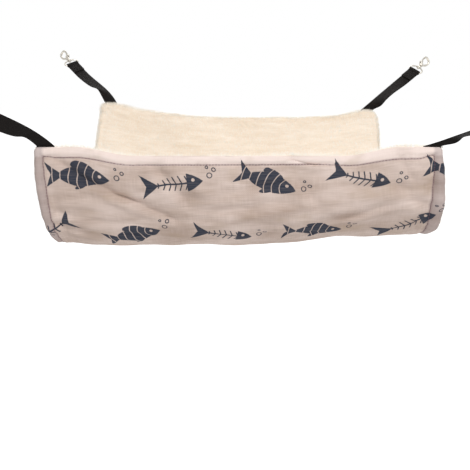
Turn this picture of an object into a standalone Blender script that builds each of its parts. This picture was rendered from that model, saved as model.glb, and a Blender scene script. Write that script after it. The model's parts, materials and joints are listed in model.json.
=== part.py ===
# Small pet hammock: a two-layer cloth bed hung by four webbing straps with swivel snap hooks.
# Units are metres, +X to the right, +Y to the back, +Z up.
# The origin is the centre of the four places where the hooks hang.
import math

import bmesh
import bpy
import numpy as np
from mathutils import Matrix, Vector

# Bed: the hung cloth, front edge to back edge
bed_width = 0.450
back_spread = 0.009
back_width = bed_width + back_spread
back_shift = 0.0025
bed_span = 0.2935
bed_drop = 0.140
side_bulge = 0.006
belly_shift = 0.0035
front_flank = 0.0050
back_flank = 0.0060
front_dip = 0.010
back_dip = 0.014
back_tilt = 0.006
strap_pull = 0.006
strap_pull_share = 0.13
fold_depth = 0.002
front_dip_outer_share = 0.80
front_dip_inner_share = 0.52
right_lift_share = 0.12
corner_curl_share = 0.03
fold_waves = 3.5
right_lift_start_share = 0.10
corner_curl_power = 10
side_bulge_power = 4
belly_share = 0.60
flank_start_share = 0.50
waist_start_share = 0.50
front_end_share = 0.35
back_start_share = 0.62
normal_step_share = 0.002
curve_steps = 24
# Cross-section of the bed, front to back: share of bed_span, share of bed_drop
section_shares = (
    (0.0, 0.0),
    (-0.024, -0.29),
    (-0.014, -0.61),
    (0.061, -0.87),
    (0.211, -1.0),
    (0.409, -0.977),
    (0.613, -0.824),
    (0.818, -0.504),
    (1.0, -0.025),
)

# Cloth layers and thread
cover_thickness = 0.0010
lining_thickness = 0.0030
layer_gap = 0.0003
hem_width = 0.010
thread_radius = 0.0004
thread_sides = 4
columns_between = 15
rows_between = 18
hard_sharp_angle = 35.0
soft_sharp_angle = 60.0

# Webbing
webbing_width = 0.020
webbing_thickness = 0.0012
strap_length = 0.109
front_inset = 0.0015
back_inset = 0.006
tail_length = 0.025
fold_back_length = 0.020
fold_axis_height = 0.0015
strap_start_height = 0.0010
loop_ease_length = 0.006
strap_steps = 14
ease_steps = 3
loop_steps = 8
tack_width = 0.014
tack_length = 0.008
tack_line = 0.0010
tack_height = 0.0004
tack_place_share = 0.90

# Swivel eye of the hook
eye_wire_radius = 0.0011
eye_side_clearance = 0.0008
loop_clearance = 0.0004
eye_height = 0.009
eye_shoulder_height = 0.003
eye_corner_radius = 0.002
collar_radius = 0.0032
collar_sink = 0.0008
collar_length = 0.0035
post_clearance = 0.0004
eye_arch_steps = 12
eye_corner_steps = 3
wire_sides = 8

# Hook body, with its swivel post and its claw
post_radius = 0.0015
head_radius = 0.0026
head_thickness = 0.0014
swivel_clearance = 0.0004
base_radius = 0.0034
base_height = 0.0036
base_chamfer = 0.0008
claw_radius = 0.0017
claw_reach = 0.0060
claw_corner_radius = 0.0040
claw_top = 0.0300
claw_tip_drop = 0.0048
claw_foot_height = 0.0010
claw_corner_steps = 4
# Lower spine of the claw: share of claw_reach to the side, height over its foot in claw radii
spine_shares = ((0.30, 1.0), (0.80, 3.0), (1.0, 5.0))
round_sides = 20

# Gate, its cheeks and its pin
pin_side = 0.0046
gate_foot_clearance = 0.0004
pin_radius = 0.0007
pin_clearance = 0.0003
gate_half_thickness = 0.0012
gate_width = 0.0022
gate_foot_radius = 0.0017
gate_tip_clearance = 0.0004
cheek_half_thickness = 0.0027
cheek_clearance = 0.0003
cheek_radius = 0.0021
gate_arc_steps = 10
gate_tip_steps = 2

cut_overrun = 0.0010

# Heights on the hook, measured from the middle of the webbing loop
collar_bottom = eye_height - collar_sink
collar_top = collar_bottom + collar_length
head_top = collar_bottom - swivel_clearance
base_bottom = collar_top + swivel_clearance
base_top = base_bottom + base_height
pin_height = base_top + gate_foot_clearance + gate_foot_radius
claw_tip = claw_top - claw_tip_drop
bore_radius = post_radius + post_clearance

# The four corners. Each has its side of the bed, front or back, and the direction of its strap.
# rise_share: how much of the cloth's own direction the strap keeps at first. seam_share: how far the seam
# holds its width flat. Then its twist in degrees near the waist and at the end, and its fold-back's side.
corners = {
    "front_left": dict(
        side=-1, back=False, direction=(-0.870, -0.051, 0.491), rise_share=0.30, seam_share=0.60,
        waist_turn=50.0, waist_share=0.08, waist_spread_share=0.40, end_turn=-8.0, fold_side=-1),
    "front_right": dict(
        side=1, back=False, direction=(0.960, 0.050, 0.265), rise_share=0.0, seam_share=0.70,
        waist_turn=26.0, waist_share=0.36, waist_spread_share=0.40, end_turn=36.0, fold_side=1),
    "back_left": dict(
        side=-1, back=True, direction=(-0.674, 0.485, 0.557), rise_share=0.43, seam_share=0.70,
        waist_turn=-84.0, waist_share=0.08, waist_spread_share=0.316, end_turn=-18.5, fold_side=-1),
    "back_right": dict(
        side=1, back=True, direction=(0.766, 0.301, 0.568), rise_share=0.0, seam_share=0.47,
        waist_turn=-5.0, waist_share=0.60, waist_spread_share=0.275, end_turn=-30.0, fold_side=1),
}
waist_release_share = 0.40
end_turn_share = 0.30

# Colours, roughness and metallic value of each material
finishes = {
    "printed_canvas": ((0.60, 0.51, 0.46), 0.90, 0.0),
    "cream_plush": ((0.90, 0.79, 0.65), 1.00, 0.0),
    "mauve_thread": ((0.12, 0.06, 0.07), 0.80, 0.0),
    "black_webbing": ((0.018, 0.015, 0.014), 0.75, 0.0),
    "black_thread": ((0.010, 0.010, 0.010), 0.80, 0.0),
    "nickel_plated_zinc": ((0.66, 0.64, 0.60), 0.25, 1.0),
    "steel_pin": ((0.56, 0.55, 0.53), 0.30, 1.0),
}


def clear_scene():
    for thing in list(bpy.data.objects):
        bpy.data.objects.remove(thing, do_unlink=True)


def make_materials():
    made = {}
    for name, (colour, roughness, metallic) in finishes.items():
        material = bpy.data.materials.new(name)
        material.use_nodes = True
        shader = material.node_tree.nodes["Principled BSDF"]
        shader.inputs["Base Color"].default_value = (*colour, 1.0)
        shader.inputs["Roughness"].default_value = roughness
        shader.inputs["Metallic"].default_value = metallic
        made[name] = material
    return made


def ease(share):
    """Smooth step from 0 to 1."""
    share = np.clip(share, 0.0, 1.0)
    return share * share * (3.0 - 2.0 * share)


def unit(vector):
    vector = np.asarray(vector, dtype=float)
    return vector / np.linalg.norm(vector)


def turned(vector, axis, angle):
    """Vector turned about a unit axis."""
    cosine, sine = math.cos(angle), math.sin(angle)
    return vector * cosine + np.cross(axis, vector) * sine + axis * np.dot(axis, vector) * (1.0 - cosine)


def smooth_line(points):
    """Catmull-Rom curve through the points, as a fine run of points."""
    points = np.asarray(points, dtype=float)
    padded = np.vstack([2.0 * points[0] - points[1], points, 2.0 * points[-1] - points[-2]])
    run = []
    for before, start, end, after in zip(padded[:-3], padded[1:-2], padded[2:-1], padded[3:]):
        share = np.linspace(0.0, 1.0, curve_steps, endpoint=False)[:, None]
        run.append(0.5 * (2.0 * start + (end - before) * share
                          + (2.0 * before - 5.0 * start + 4.0 * end - after) * share ** 2
                          + (3.0 * start - before - 3.0 * end + after) * share ** 3))
    return np.vstack(run + [points[-1:]])


section_line = smooth_line([(y * bed_span, z * bed_drop) for y, z in section_shares])
section_steps = np.linalg.norm(np.diff(section_line, axis=0), axis=1)
section_lengths = np.concatenate([[0.0], np.cumsum(section_steps)])
cloth_depth = section_lengths[-1]


def bed_surface(across, along):
    """Point of the sheet between cover and lining: across -1 to 1, along 0 at the front to 1 at the back."""
    across, along = np.broadcast_arrays(np.asarray(across, dtype=float), np.asarray(along, dtype=float))
    place = along * cloth_depth
    y = np.interp(place, section_lengths, section_line[:, 0])
    z = np.interp(place, section_lengths, section_line[:, 1])
    lift = 1.0 - right_lift_share * ease((across + right_lift_start_share) / (1.0 + right_lift_start_share))
    lift = lift - corner_curl_share * np.abs(across) ** corner_curl_power
    front = 1.0 - ease(along / front_end_share)
    back = ease((along - back_start_share) / (1.0 - back_start_share))
    dip_range = front_dip_outer_share - front_dip_inner_share
    dip_share = ease((front_dip_outer_share - np.abs(across)) / dip_range)
    z = z * lift - front_dip * dip_share * front - back_dip * (1.0 - across ** 2) * back
    root = 1.0 - (back_inset + webbing_width) / (back_width / 2.0)
    pull = np.exp(-((np.abs(across) - root) / strap_pull_share) ** 2)
    pull = pull - np.exp(-(root / strap_pull_share) ** 2)
    z = z + (strap_pull * pull - back_tilt * across) * back
    middle = np.sin(math.pi * along)
    y = y + fold_depth * middle * np.cos(fold_waves * math.pi * across)
    half = (bed_width + back_spread * along) / 2.0
    x = across * (half + side_bulge * (1.0 - (2.0 * along - 1.0) ** side_bulge_power)) + back_shift * along
    flank = ease((across - flank_start_share) / (1.0 - flank_start_share))
    belly = np.sin(math.pi * np.clip(along / belly_share, 0.0, 1.0)) ** 2
    waist = np.sin(math.pi * np.clip((along - waist_start_share) / (1.0 - waist_start_share), 0.0, 1.0)) ** 2
    x = x + belly * (belly_shift + front_flank * flank) - back_flank * waist * flank
    return np.stack([x, y, z], axis=-1)


def bed_normal(across, along):
    """Unit normal of the sheet, pointing to the outside of the bed."""
    step = normal_step_share
    aside = bed_surface(np.add(across, step), along) - bed_surface(np.subtract(across, step), along)
    onward = bed_surface(across, np.minimum(1.0, np.add(along, step)))
    onward = onward - bed_surface(across, np.maximum(0.0, np.subtract(along, step)))
    normal = np.cross(onward, aside)
    return normal / np.linalg.norm(normal, axis=-1, keepdims=True)


def bed_shares():
    """Grid lines of the cloth: at the hem, at the strap tails, and evenly between them."""
    end_places = np.array([0.0, hem_width, tail_length]) / cloth_depth
    middle = np.linspace(end_places[-1], 1.0 - end_places[-1], rows_between + 1)[1:-1]
    along = np.concatenate([end_places, middle, (1.0 - end_places)[::-1]])
    lines = []
    for inset, width in ((front_inset, bed_width), (back_inset, back_width)):
        side_places = np.array([0.0, inset, hem_width, inset + webbing_width]) / (width / 2.0)
        inner = np.linspace(-1.0 + side_places[-1], 1.0 - side_places[-1], columns_between + 1)[1:-1]
        lines.append(np.concatenate([-1.0 + side_places, inner, (1.0 - side_places)[::-1]]))
    across = lines[0][:, None] * (1.0 - along) + lines[1][:, None] * along
    return across, np.broadcast_to(along, across.shape)


grid_across, grid_along = bed_shares()
grid_points = bed_surface(grid_across, grid_along)
grid_normals = bed_normal(grid_across, grid_along)


def tail_cells(corner):
    """Grid columns and rows that a strap tail covers."""
    column_count, row_count = grid_across.shape
    columns = [1, 2, 3] if corner["side"] < 0 else [column_count - place for place in (4, 3, 2)]
    rows = [row_count - place for place in (3, 2, 1)] if corner["back"] else [0, 1, 2]
    return columns, rows


def sheet_solid(points, normals, outer, inner):
    """Closed solid between two offsets of a grid of points: vertices and faces."""
    columns, rows = points.shape[:2]
    outside = (points + normals * np.asarray(outer)[..., None]).reshape(-1, 3)
    inside = (points + normals * np.asarray(inner)[..., None]).reshape(-1, 3)
    vertices = np.vstack([outside, inside])
    back = columns * rows

    def at(column, row):
        return column * rows + row

    faces = []
    for column in range(columns - 1):
        for row in range(rows - 1):
            near, far = at(column, row), at(column + 1, row + 1)
            for side in (at(column, row + 1), at(column + 1, row)):
                faces.append([near, side, far])
                faces.append([near + back, side + back, far + back])
    rim = [at(column, 0) for column in range(columns)]
    rim += [at(columns - 1, row) for row in range(1, rows)]
    rim += [at(column, rows - 1) for column in range(columns - 2, -1, -1)]
    rim += [at(0, row) for row in range(rows - 2, 0, -1)]
    for start, end in zip(rim, rim[1:] + rim[:1]):
        faces.append([start, end, end + back, start + back])
    return vertices, faces


def tube_solid(centres, first, second, radius, sides, closed):
    """Tube round a run of centres; first and second are the two directions across it at each centre."""
    angles = 2.0 * math.pi * (np.arange(sides) + 0.5) / sides
    rings = (centres[:, None, :] + radius * (np.cos(angles)[None, :, None] * first[:, None, :]
             + np.sin(angles)[None, :, None] * second[:, None, :]))
    count = len(centres)
    faces = []
    for ring in range(count if closed else count - 1):
        here, there = ring * sides, (ring + 1) % count * sides
        for side in range(sides):
            other = (side + 1) % sides
            faces.append([here + side, here + other, there + other, there + side])
    if not closed:
        faces.append([side for side in range(sides)][::-1])
        faces.append([(count - 1) * sides + side for side in range(sides)])
    return rings.reshape(-1, 3), faces


def plane_tube(path, radius, closed):
    """Tube whose centres lie in the local XY plane."""
    path = np.asarray(path, dtype=float)
    if closed:
        tangent = np.roll(path, -1, axis=0) - np.roll(path, 1, axis=0)
    else:
        tangent = np.gradient(path, axis=0)
    tangent = tangent / np.linalg.norm(tangent, axis=1, keepdims=True)
    centres = np.column_stack([path, np.zeros(len(path))])
    first = np.column_stack([-tangent[:, 1], tangent[:, 0], np.zeros(len(path))])
    second = np.tile([0.0, 0.0, 1.0], (len(path), 1))
    return tube_solid(centres, first, second, radius, wire_sides, closed)


def turned_solid(profile):
    """Solid of revolution about local Y; the profile runs (radius, height) from axis to axis."""
    vertices, rings = [], []
    for radius, height in profile:
        if radius == 0.0:
            rings.append([len(vertices)])
            vertices.append((0.0, height, 0.0))
            continue
        ring = []
        for step in range(round_sides):
            angle = 2.0 * math.pi * step / round_sides
            ring.append(len(vertices))
            vertices.append((radius * math.cos(angle), height, radius * math.sin(angle)))
        rings.append(ring)
    faces = []
    for low, high in zip(rings, rings[1:]):
        for step in range(round_sides):
            other = (step + 1) % round_sides
            if len(low) == 1:
                faces.append([low[0], high[step], high[other]])
            elif len(high) == 1:
                faces.append([low[step], high[0], low[other]])
            else:
                faces.append([low[step], high[step], high[other], low[other]])
    return vertices, faces


def plate_solid(outline, half_thickness):
    """Outline in the local XY plane, given thickness along Z both ways."""
    count = len(outline)
    vertices = [(x, y, -half_thickness) for x, y in outline] + [(x, y, half_thickness) for x, y in outline]
    faces = [list(range(count))[::-1], list(range(count, 2 * count))]
    for step in range(count):
        other = (step + 1) % count
        faces.append([step, other, other + count, step + count])
    return vertices, faces


def arc(centre, radius, start, end, steps):
    """Points on an arc in the local XY plane, angles in degrees."""
    angles = np.radians(np.linspace(start, end, steps + 1))
    return [(centre[0] + radius * math.cos(angle), centre[1] + radius * math.sin(angle)) for angle in angles]


def make_mesh(name, vertices, faces, material, sharp_angle=hard_sharp_angle):
    mesh = bpy.data.meshes.new(name)
    mesh.from_pydata([tuple(vertex) for vertex in vertices], [], [list(face) for face in faces])
    body = bmesh.new()
    body.from_mesh(mesh)
    bmesh.ops.recalc_face_normals(body, faces=body.faces)
    body.to_mesh(mesh)
    body.free()
    mesh.materials.append(material)
    mesh.shade_smooth()
    mesh.set_sharp_from_angle(angle=math.radians(sharp_angle))
    return mesh


def place(name, mesh, origin, parent=None, form=False):
    """Object of a mesh at its origin; a form only shapes another piece."""
    piece = bpy.data.objects.new(name, mesh)
    bpy.context.scene.collection.objects.link(piece)
    piece.parent = parent
    piece.location = Vector(origin)
    if form:
        piece.hide_render = True
        piece.display_type = "WIRE"
    return piece


def make_stand(name, frame, directions):
    """Empty on the middle of a webbing loop, its local axes along three directions of the strap's frame."""
    stand = bpy.data.objects.new(name, None)
    bpy.context.scene.collection.objects.link(stand)
    axes = Matrix([frame[direction] for direction in directions]).transposed().to_4x4()
    stand.matrix_world = Matrix.Translation(Vector(frame["bar"] - hang_centre)) @ axes
    return stand


def combine(piece, form, operation):
    modifier = piece.modifiers.new(form.name, "BOOLEAN")
    modifier.operation = operation
    modifier.object = form
    modifier.solver = "EXACT"


# Webbing: each corner's strap, from the seam to its loop round the hook's eye
def strap_frame(corner):
    """Where a strap leaves the bed and where it ends, with the directions of its end."""
    columns, rows = tail_cells(corner)
    row = rows[-1] if corner["back"] else rows[0]
    outer_column, inner_column = columns[::2] if corner["side"] < 0 else columns[::-2]
    middle = layer_gap + webbing_thickness / 2.0
    outer = grid_points[outer_column, row] - grid_normals[outer_column, row] * middle
    inner = grid_points[inner_column, row] - grid_normals[inner_column, row] * middle
    before = rows[-2] if corner["back"] else rows[1]
    onward = unit((grid_points[inner_column, row] - grid_points[inner_column, before]) * (0.0, 1.0, 1.0))
    root = (outer + inner) / 2.0
    along = unit(corner["direction"])
    flat = unit(unit(outer - inner) - along * np.dot(unit(outer - inner), along))
    across = turned(flat, along, math.radians(corner["end_turn"]) * corner["side"])
    backward = np.array([0.0, -corner["side"], 0.0])
    hook_through = unit(backward - along * np.dot(backward, along))
    return dict(outer=outer, inner=inner, onward=onward, along=along, across=across,
                through=np.cross(across, along), hook_across=np.cross(along, hook_through),
                hook_through=hook_through, bar=root + along * strap_length,
                axis_point=root + onward * fold_axis_height)


frames = {name: strap_frame(corner) for name, corner in corners.items()}
seat_height = claw_top - claw_radius * math.cos(math.pi / wire_sides)
hang_centre = sum(frame["bar"] + frame["along"] * seat_height for frame in frames.values()) / len(frames)


def unit_rows(rows):
    rows = np.asarray(rows, dtype=float)
    return rows / np.linalg.norm(rows, axis=1, keepdims=True)


def strap_edge(corner, frame, end):
    """The taut edge of a strap, on one curve from the seam to the place where its fold-back ends."""
    start = frame["inner"] + frame["onward"] * strap_start_height
    handle = np.linalg.norm(end - start) / 3.0
    rise = corner["rise_share"]
    first = start + unit(frame["onward"] * rise + frame["along"] * (1.0 - rise)) * handle
    second = end - frame["along"] * handle
    share = np.linspace(0.0, 1.0, strap_steps + 1)[:, None]
    return ((1.0 - share) ** 3 * start + 3.0 * (1.0 - share) ** 2 * share * first
            + 3.0 * (1.0 - share) * share ** 2 * second + share ** 3 * end)


def strap_width(corner, frame, edge):
    """Direction across the webbing at each step: along the seam first, then twisted as tension turns it."""
    tangent = unit_rows(np.gradient(edge, axis=0))
    seam = unit(frame["outer"] - frame["inner"])
    width = []
    for share, direction in zip(np.linspace(0.0, 1.0, len(edge)), tangent):
        flat = unit(seam - direction * np.dot(seam, direction))
        waist = math.exp(-((share - corner["waist_share"]) / corner["waist_spread_share"]) ** 2)
        turn = corner["waist_turn"] * waist * ease((1.0 - share) / waist_release_share)
        turn += corner["end_turn"] * ease(share / end_turn_share)
        spread = turned(flat, direction, math.radians(turn) * corner["side"])
        width.append(seam + (spread - seam) * ease(share / corner["seam_share"]))
    width[-1] = frame["across"]
    return unit_rows(width), tangent


def loop_profile(fold):
    """The folded end in the plane of along and through: forward leg, turn round the eye, leg back."""
    half_stack = (webbing_thickness + layer_gap) / 2.0
    loop_radius = eye_wire_radius + loop_clearance + webbing_thickness / 2.0
    parts = np.linspace(0.0, 1.0, ease_steps + 1)
    places = loop_ease_length * (parts - 1.0)
    offsets = half_stack + (loop_radius - half_stack) * ease(parts)
    turn = np.linspace(-90.0, 90.0, loop_steps + 1)[1:-1]
    turn = [(loop_radius * math.cos(math.radians(angle)), loop_radius * math.sin(math.radians(angle)))
            for angle in turn]
    profile = list(zip(places, -offsets)) + turn + list(zip(places[::-1], offsets[::-1]))
    profile.append((-fold_back_length, half_stack))
    return np.array(profile) * (1.0, fold), (-fold_back_length - loop_ease_length, -half_stack * fold)


def strap_lines(corner, frame):
    """Edge, width direction and thickness direction at each step of a strap, seam to folded end."""
    profile, straight_start = loop_profile(corner["fold_side"])
    plane = np.vstack([frame["along"], frame["through"]])
    corner_of_bar = frame["bar"] - frame["across"] * webbing_width / 2.0
    edge = strap_edge(corner, frame, corner_of_bar + np.array(straight_start) @ plane)
    width, tangent = strap_width(corner, frame, edge)
    thick = unit_rows(np.cross(width, tangent))
    thick[-1] = frame["through"]
    run = unit_rows(np.gradient(profile, axis=0))
    loop_thick = np.column_stack([-run[:, 1], run[:, 0]]) @ plane
    loop_width = np.tile(frame["across"], (len(profile), 1))
    return (np.vstack([edge, corner_of_bar + profile @ plane]), np.vstack([width, loop_width]),
            np.vstack([thick, loop_thick]))


def strap_solid(corner, frame):
    edge, width, thick = strap_lines(corner, frame)
    near, far = edge, edge + width * webbing_width
    half = thick * webbing_thickness / 2.0
    vertices = np.stack([near - half, near + half, far + half, far - half], axis=1).reshape(-1, 3)
    last = len(vertices) - 4
    faces = [[3, 2, 1, 0], [last, last + 1, last + 2, last + 3]]
    for start in range(0, last, 4):
        for side in range(4):
            other = (side + 1) % 4
            faces.append([start + side, start + other, start + other + 4, start + side + 4])
    return vertices, faces


def tack_solid():
    """Sewn box that closes the fold-back, as a flat frame of thread lying on the webbing."""
    outer = [(-tack_width / 2.0, 0.0), (tack_width / 2.0, 0.0),
             (tack_width / 2.0, tack_length), (-tack_width / 2.0, tack_length)]
    inner = [(-tack_width / 2.0 + tack_line, tack_line), (tack_width / 2.0 - tack_line, tack_line),
             (tack_width / 2.0 - tack_line, tack_length - tack_line),
             (-tack_width / 2.0 + tack_line, tack_length - tack_line)]
    vertices = [(x, y, z) for z in (0.0, tack_height) for x, y in outer + inner]
    faces = []
    for side in range(4):
        other = (side + 1) % 4
        faces.append([side, other, other + 4, side + 4])
        faces.append([side + 8, side + 12, other + 12, other + 8])
        faces.append([side, side + 8, other + 8, other])
        faces.append([side + 4, other + 4, other + 12, side + 12])
    return vertices, faces


# Hook: eye, body with swivel post and claw, gate and pin, all in the plane of along and across
def eye_path():
    """Wire of the eye: a straight bar, two rounded corners, short sides and a round arch."""
    half = webbing_width / 2.0 + eye_side_clearance + eye_wire_radius
    corner = eye_corner_radius
    lower_right = arc((half - corner, corner), corner, -90.0, 0.0, eye_corner_steps)
    lower_left = arc((-half + corner, corner), corner, 180.0, 270.0, eye_corner_steps)
    angles = np.radians(np.linspace(0.0, 180.0, eye_arch_steps + 1))
    rise = eye_height - eye_shoulder_height
    arch = [(half * math.cos(angle), eye_shoulder_height + rise * math.sin(angle)) for angle in angles]
    return lower_right + arch + lower_left


def claw_path():
    """Centre line of the claw: out of the base, up the spine, round the flat-topped crown to the tip."""
    foot = base_top - claw_foot_height
    turn = claw_reach - claw_corner_radius
    right = arc((turn, claw_top - claw_corner_radius), claw_corner_radius, 0.0, 90.0, claw_corner_steps)
    left = arc((-turn, claw_top - claw_corner_radius), claw_corner_radius, 90.0, 180.0, claw_corner_steps)
    spine = [(0.0, foot - claw_foot_height)]
    spine += [(claw_reach * aside, foot + claw_radius * height) for aside, height in spine_shares]
    return spine + right + left + [(-claw_reach, claw_tip)]


def body_profile():
    """Turned part of the hook body: base, swivel post and the head that holds it in the collar."""
    head_bottom = head_top - head_thickness
    return [(0.0, head_bottom), (head_radius, head_bottom), (head_radius, head_top), (post_radius, head_top),
            (post_radius, base_bottom), (base_radius - base_chamfer, base_bottom),
            (base_radius, base_bottom + base_chamfer), (base_radius, base_top - base_chamfer),
            (base_radius - base_chamfer, base_top), (0.0, base_top)]


def gate_outline():
    """Gate seen from the side: round foot on the pin, straight bar, round tip just under the claw."""
    tip = np.array([-claw_reach, claw_tip])
    pin = np.array([-pin_side, pin_height])
    reach = np.linalg.norm(tip - pin) - gate_tip_clearance
    lean = math.degrees(math.atan2(*(tip - pin)[::-1]))
    spread = math.degrees(gate_width / 2.0 / reach)
    foot = math.degrees(math.asin(gate_width / 2.0 / gate_foot_radius))
    outline = arc((0.0, 0.0), reach, lean - spread, lean + spread, gate_tip_steps)
    return outline + arc((0.0, 0.0), gate_foot_radius, lean + foot, lean + 360.0 - foot, gate_arc_steps)


def cheek_outline():
    """Block on the base that holds the pin either side of the gate."""
    low = base_bottom + base_height / 2.0
    round_top = arc((-pin_side, pin_height), cheek_radius, 0.0, 180.0, gate_arc_steps)
    return [(-base_radius + base_chamfer, low), (0.0, low), (0.0, pin_height)] + round_top


def make_hook(name, frame, materials):
    """Eye, body, gate and pin of one hook, on two empties that stand on the middle of the webbing loop."""
    eye_stand = make_stand(name + "_eye_frame", frame, ("across", "along", "through"))
    body_stand = make_stand(name + "_hook_frame", frame, ("hook_across", "along", "hook_through"))
    metal, steel = materials["nickel_plated_zinc"], materials["steel_pin"]

    def piece(label, solid, origin=(0.0, 0.0, 0.0), material=metal, form=False, stand=body_stand):
        mesh = make_mesh(name + label, *solid, material)
        return place(name + label, mesh, origin, stand, form)

    eye = piece("_hook_eye", plane_tube(eye_path(), eye_wire_radius, closed=True), stand=eye_stand)
    collar = turned_solid([(0.0, collar_bottom), (collar_radius, collar_bottom),
                           (collar_radius, collar_top), (0.0, collar_top)])
    bore = turned_solid([(0.0, collar_bottom - cut_overrun), (bore_radius, collar_bottom - cut_overrun),
                         (bore_radius, collar_top + cut_overrun), (0.0, collar_top + cut_overrun)])
    combine(eye, piece("_collar_form", collar, form=True, stand=eye_stand), "UNION")
    combine(eye, piece("_collar_bore", bore, form=True, stand=eye_stand), "DIFFERENCE")

    body = piece("_hook_body", turned_solid(body_profile()))
    pin = (-pin_side, pin_height, 0.0)
    slot_side = -pin_side - cheek_radius - cut_overrun
    slot_top = pin_height + cheek_radius + cut_overrun
    slot = [(slot_side, base_top), (cut_overrun, base_top), (cut_overrun, slot_top), (slot_side, slot_top)]
    hole = arc((0.0, 0.0), pin_radius + pin_clearance, 0.0, 360.0, gate_arc_steps)[:-1]
    through = cheek_half_thickness + cut_overrun
    cheek = plate_solid(cheek_outline(), cheek_half_thickness)
    combine(body, piece("_cheek_form", cheek, form=True), "UNION")
    slot_half = gate_half_thickness + cheek_clearance
    combine(body, piece("_gate_slot", plate_solid(slot, slot_half), form=True), "DIFFERENCE")
    combine(body, piece("_pin_hole", plate_solid(hole, through), pin, form=True), "DIFFERENCE")
    claw = plane_tube(claw_path(), claw_radius, closed=False)
    combine(body, piece("_claw_form", claw, form=True), "UNION")

    gate = piece("_hook_gate", plate_solid(gate_outline(), gate_half_thickness), pin)
    combine(gate, piece("_gate_eye", plate_solid(hole, through), pin, form=True), "DIFFERENCE")
    shaft = arc((0.0, 0.0), pin_radius, 0.0, 360.0, gate_arc_steps)[:-1]
    piece("_gate_pin", plate_solid(shaft, cheek_half_thickness), pin, steel)


def make_strap(name, corner, frame, materials):
    """Sewn-in tail, free strap with its folded end, and the thread that closes the fold."""
    columns, rows = tail_cells(corner)
    cells = np.ix_(columns, rows)
    flat = np.ones((len(columns), len(rows)))
    tail = sheet_solid(grid_points[cells], grid_normals[cells], -layer_gap * flat,
                       -(layer_gap + webbing_thickness) * flat)
    mesh = make_mesh(name + "_strap_tail", tail[0] - hang_centre, tail[1], materials["black_webbing"])
    place(name + "_strap_tail", mesh, (0.0, 0.0, 0.0))

    vertices, faces = strap_solid(corner, frame)
    mesh = make_mesh(name + "_strap", vertices - frame["axis_point"], faces, materials["black_webbing"])
    place(name + "_strap", mesh, frame["axis_point"] - hang_centre)

    tack = bpy.data.objects.new(name + "_strap_stitching", make_mesh(
        name + "_strap_stitching", *tack_solid(), materials["black_thread"]))
    bpy.context.scene.collection.objects.link(tack)
    fold = corner["fold_side"]
    height = webbing_thickness + layer_gap / 2.0 + layer_gap
    back = fold_back_length * tack_place_share
    centre = frame["bar"] - frame["along"] * back + frame["through"] * fold * height
    axes = Matrix((frame["across"] * fold, frame["along"], frame["through"] * fold)).transposed().to_4x4()
    tack.matrix_world = Matrix.Translation(Vector(centre - hang_centre)) @ axes


def make_bed(materials):
    """Cover outside, plush lining inside, and the top-stitching round the cover."""
    still = (0.0, 0.0, 0.0)
    flat = np.zeros(grid_points.shape[:2])
    cover = sheet_solid(grid_points - hang_centre, grid_normals, flat + cover_thickness, flat)
    mesh = make_mesh("outer_cover", *cover, materials["printed_canvas"], soft_sharp_angle)
    place("outer_cover", mesh, still)
    seat = flat + layer_gap
    for corner in corners.values():
        seat[np.ix_(*tail_cells(corner))] += webbing_thickness + layer_gap
    lining = sheet_solid(grid_points - hang_centre, grid_normals, -seat, -seat - lining_thickness)
    mesh = make_mesh("plush_lining", *lining, materials["cream_plush"], soft_sharp_angle)
    place("plush_lining", mesh, still)

    side, end = 2, 1
    last_column, last_row = grid_across.shape[0] - 1 - side, grid_across.shape[1] - 1 - end
    route = [(column, end) for column in range(side, last_column + 1)]
    route += [(last_column, row) for row in range(end + 1, last_row + 1)]
    route += [(column, last_row) for column in range(last_column - 1, side - 1, -1)]
    route += [(side, row) for row in range(last_row - 1, end, -1)]
    columns, rows = np.array(route).T
    normal = grid_normals[columns, rows]
    centres = grid_points[columns, rows] + normal * (cover_thickness + layer_gap + thread_radius)
    tangent = unit_rows(np.roll(centres, -1, axis=0) - np.roll(centres, 1, axis=0))
    thread = tube_solid(centres - hang_centre, unit_rows(np.cross(normal, tangent)), normal,
                        thread_radius, thread_sides, closed=True)
    place("edge_topstitching", make_mesh("edge_topstitching", *thread, materials["mauve_thread"]), still)


def main():
    clear_scene()
    materials = make_materials()
    make_bed(materials)
    for name, corner in corners.items():
        make_strap(name, corner, frames[name], materials)
        make_hook(name, frames[name], materials)


main()
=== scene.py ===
# Small pet hammock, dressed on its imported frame: printed canvas outside, plush inside, webbing straps, snap hooks.
# Metres, +X right, +Y back, +Z up. The origin is the middle of the four places where the hooks hang.
import json
import math

import bpy
import numpy as np
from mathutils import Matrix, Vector


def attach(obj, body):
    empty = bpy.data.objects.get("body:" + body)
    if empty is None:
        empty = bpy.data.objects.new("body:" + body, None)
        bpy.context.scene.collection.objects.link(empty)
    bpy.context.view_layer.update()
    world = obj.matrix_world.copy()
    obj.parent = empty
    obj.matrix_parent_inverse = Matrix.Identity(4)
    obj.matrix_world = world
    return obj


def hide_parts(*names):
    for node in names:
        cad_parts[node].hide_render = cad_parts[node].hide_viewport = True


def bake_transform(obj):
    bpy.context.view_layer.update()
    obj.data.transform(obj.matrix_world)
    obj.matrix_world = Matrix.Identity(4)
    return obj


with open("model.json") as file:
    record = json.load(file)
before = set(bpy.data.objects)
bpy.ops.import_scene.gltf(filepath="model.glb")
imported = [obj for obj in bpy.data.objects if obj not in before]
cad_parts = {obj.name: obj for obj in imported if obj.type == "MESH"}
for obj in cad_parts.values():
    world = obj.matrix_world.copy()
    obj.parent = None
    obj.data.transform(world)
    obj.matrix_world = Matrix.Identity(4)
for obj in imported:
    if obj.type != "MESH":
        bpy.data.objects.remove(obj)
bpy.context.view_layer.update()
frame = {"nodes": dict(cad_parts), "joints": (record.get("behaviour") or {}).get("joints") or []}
joints = {joint["name"]: joint for joint in frame["joints"]}
print("frame loaded:", len(frame["nodes"]), "nodes")


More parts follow.
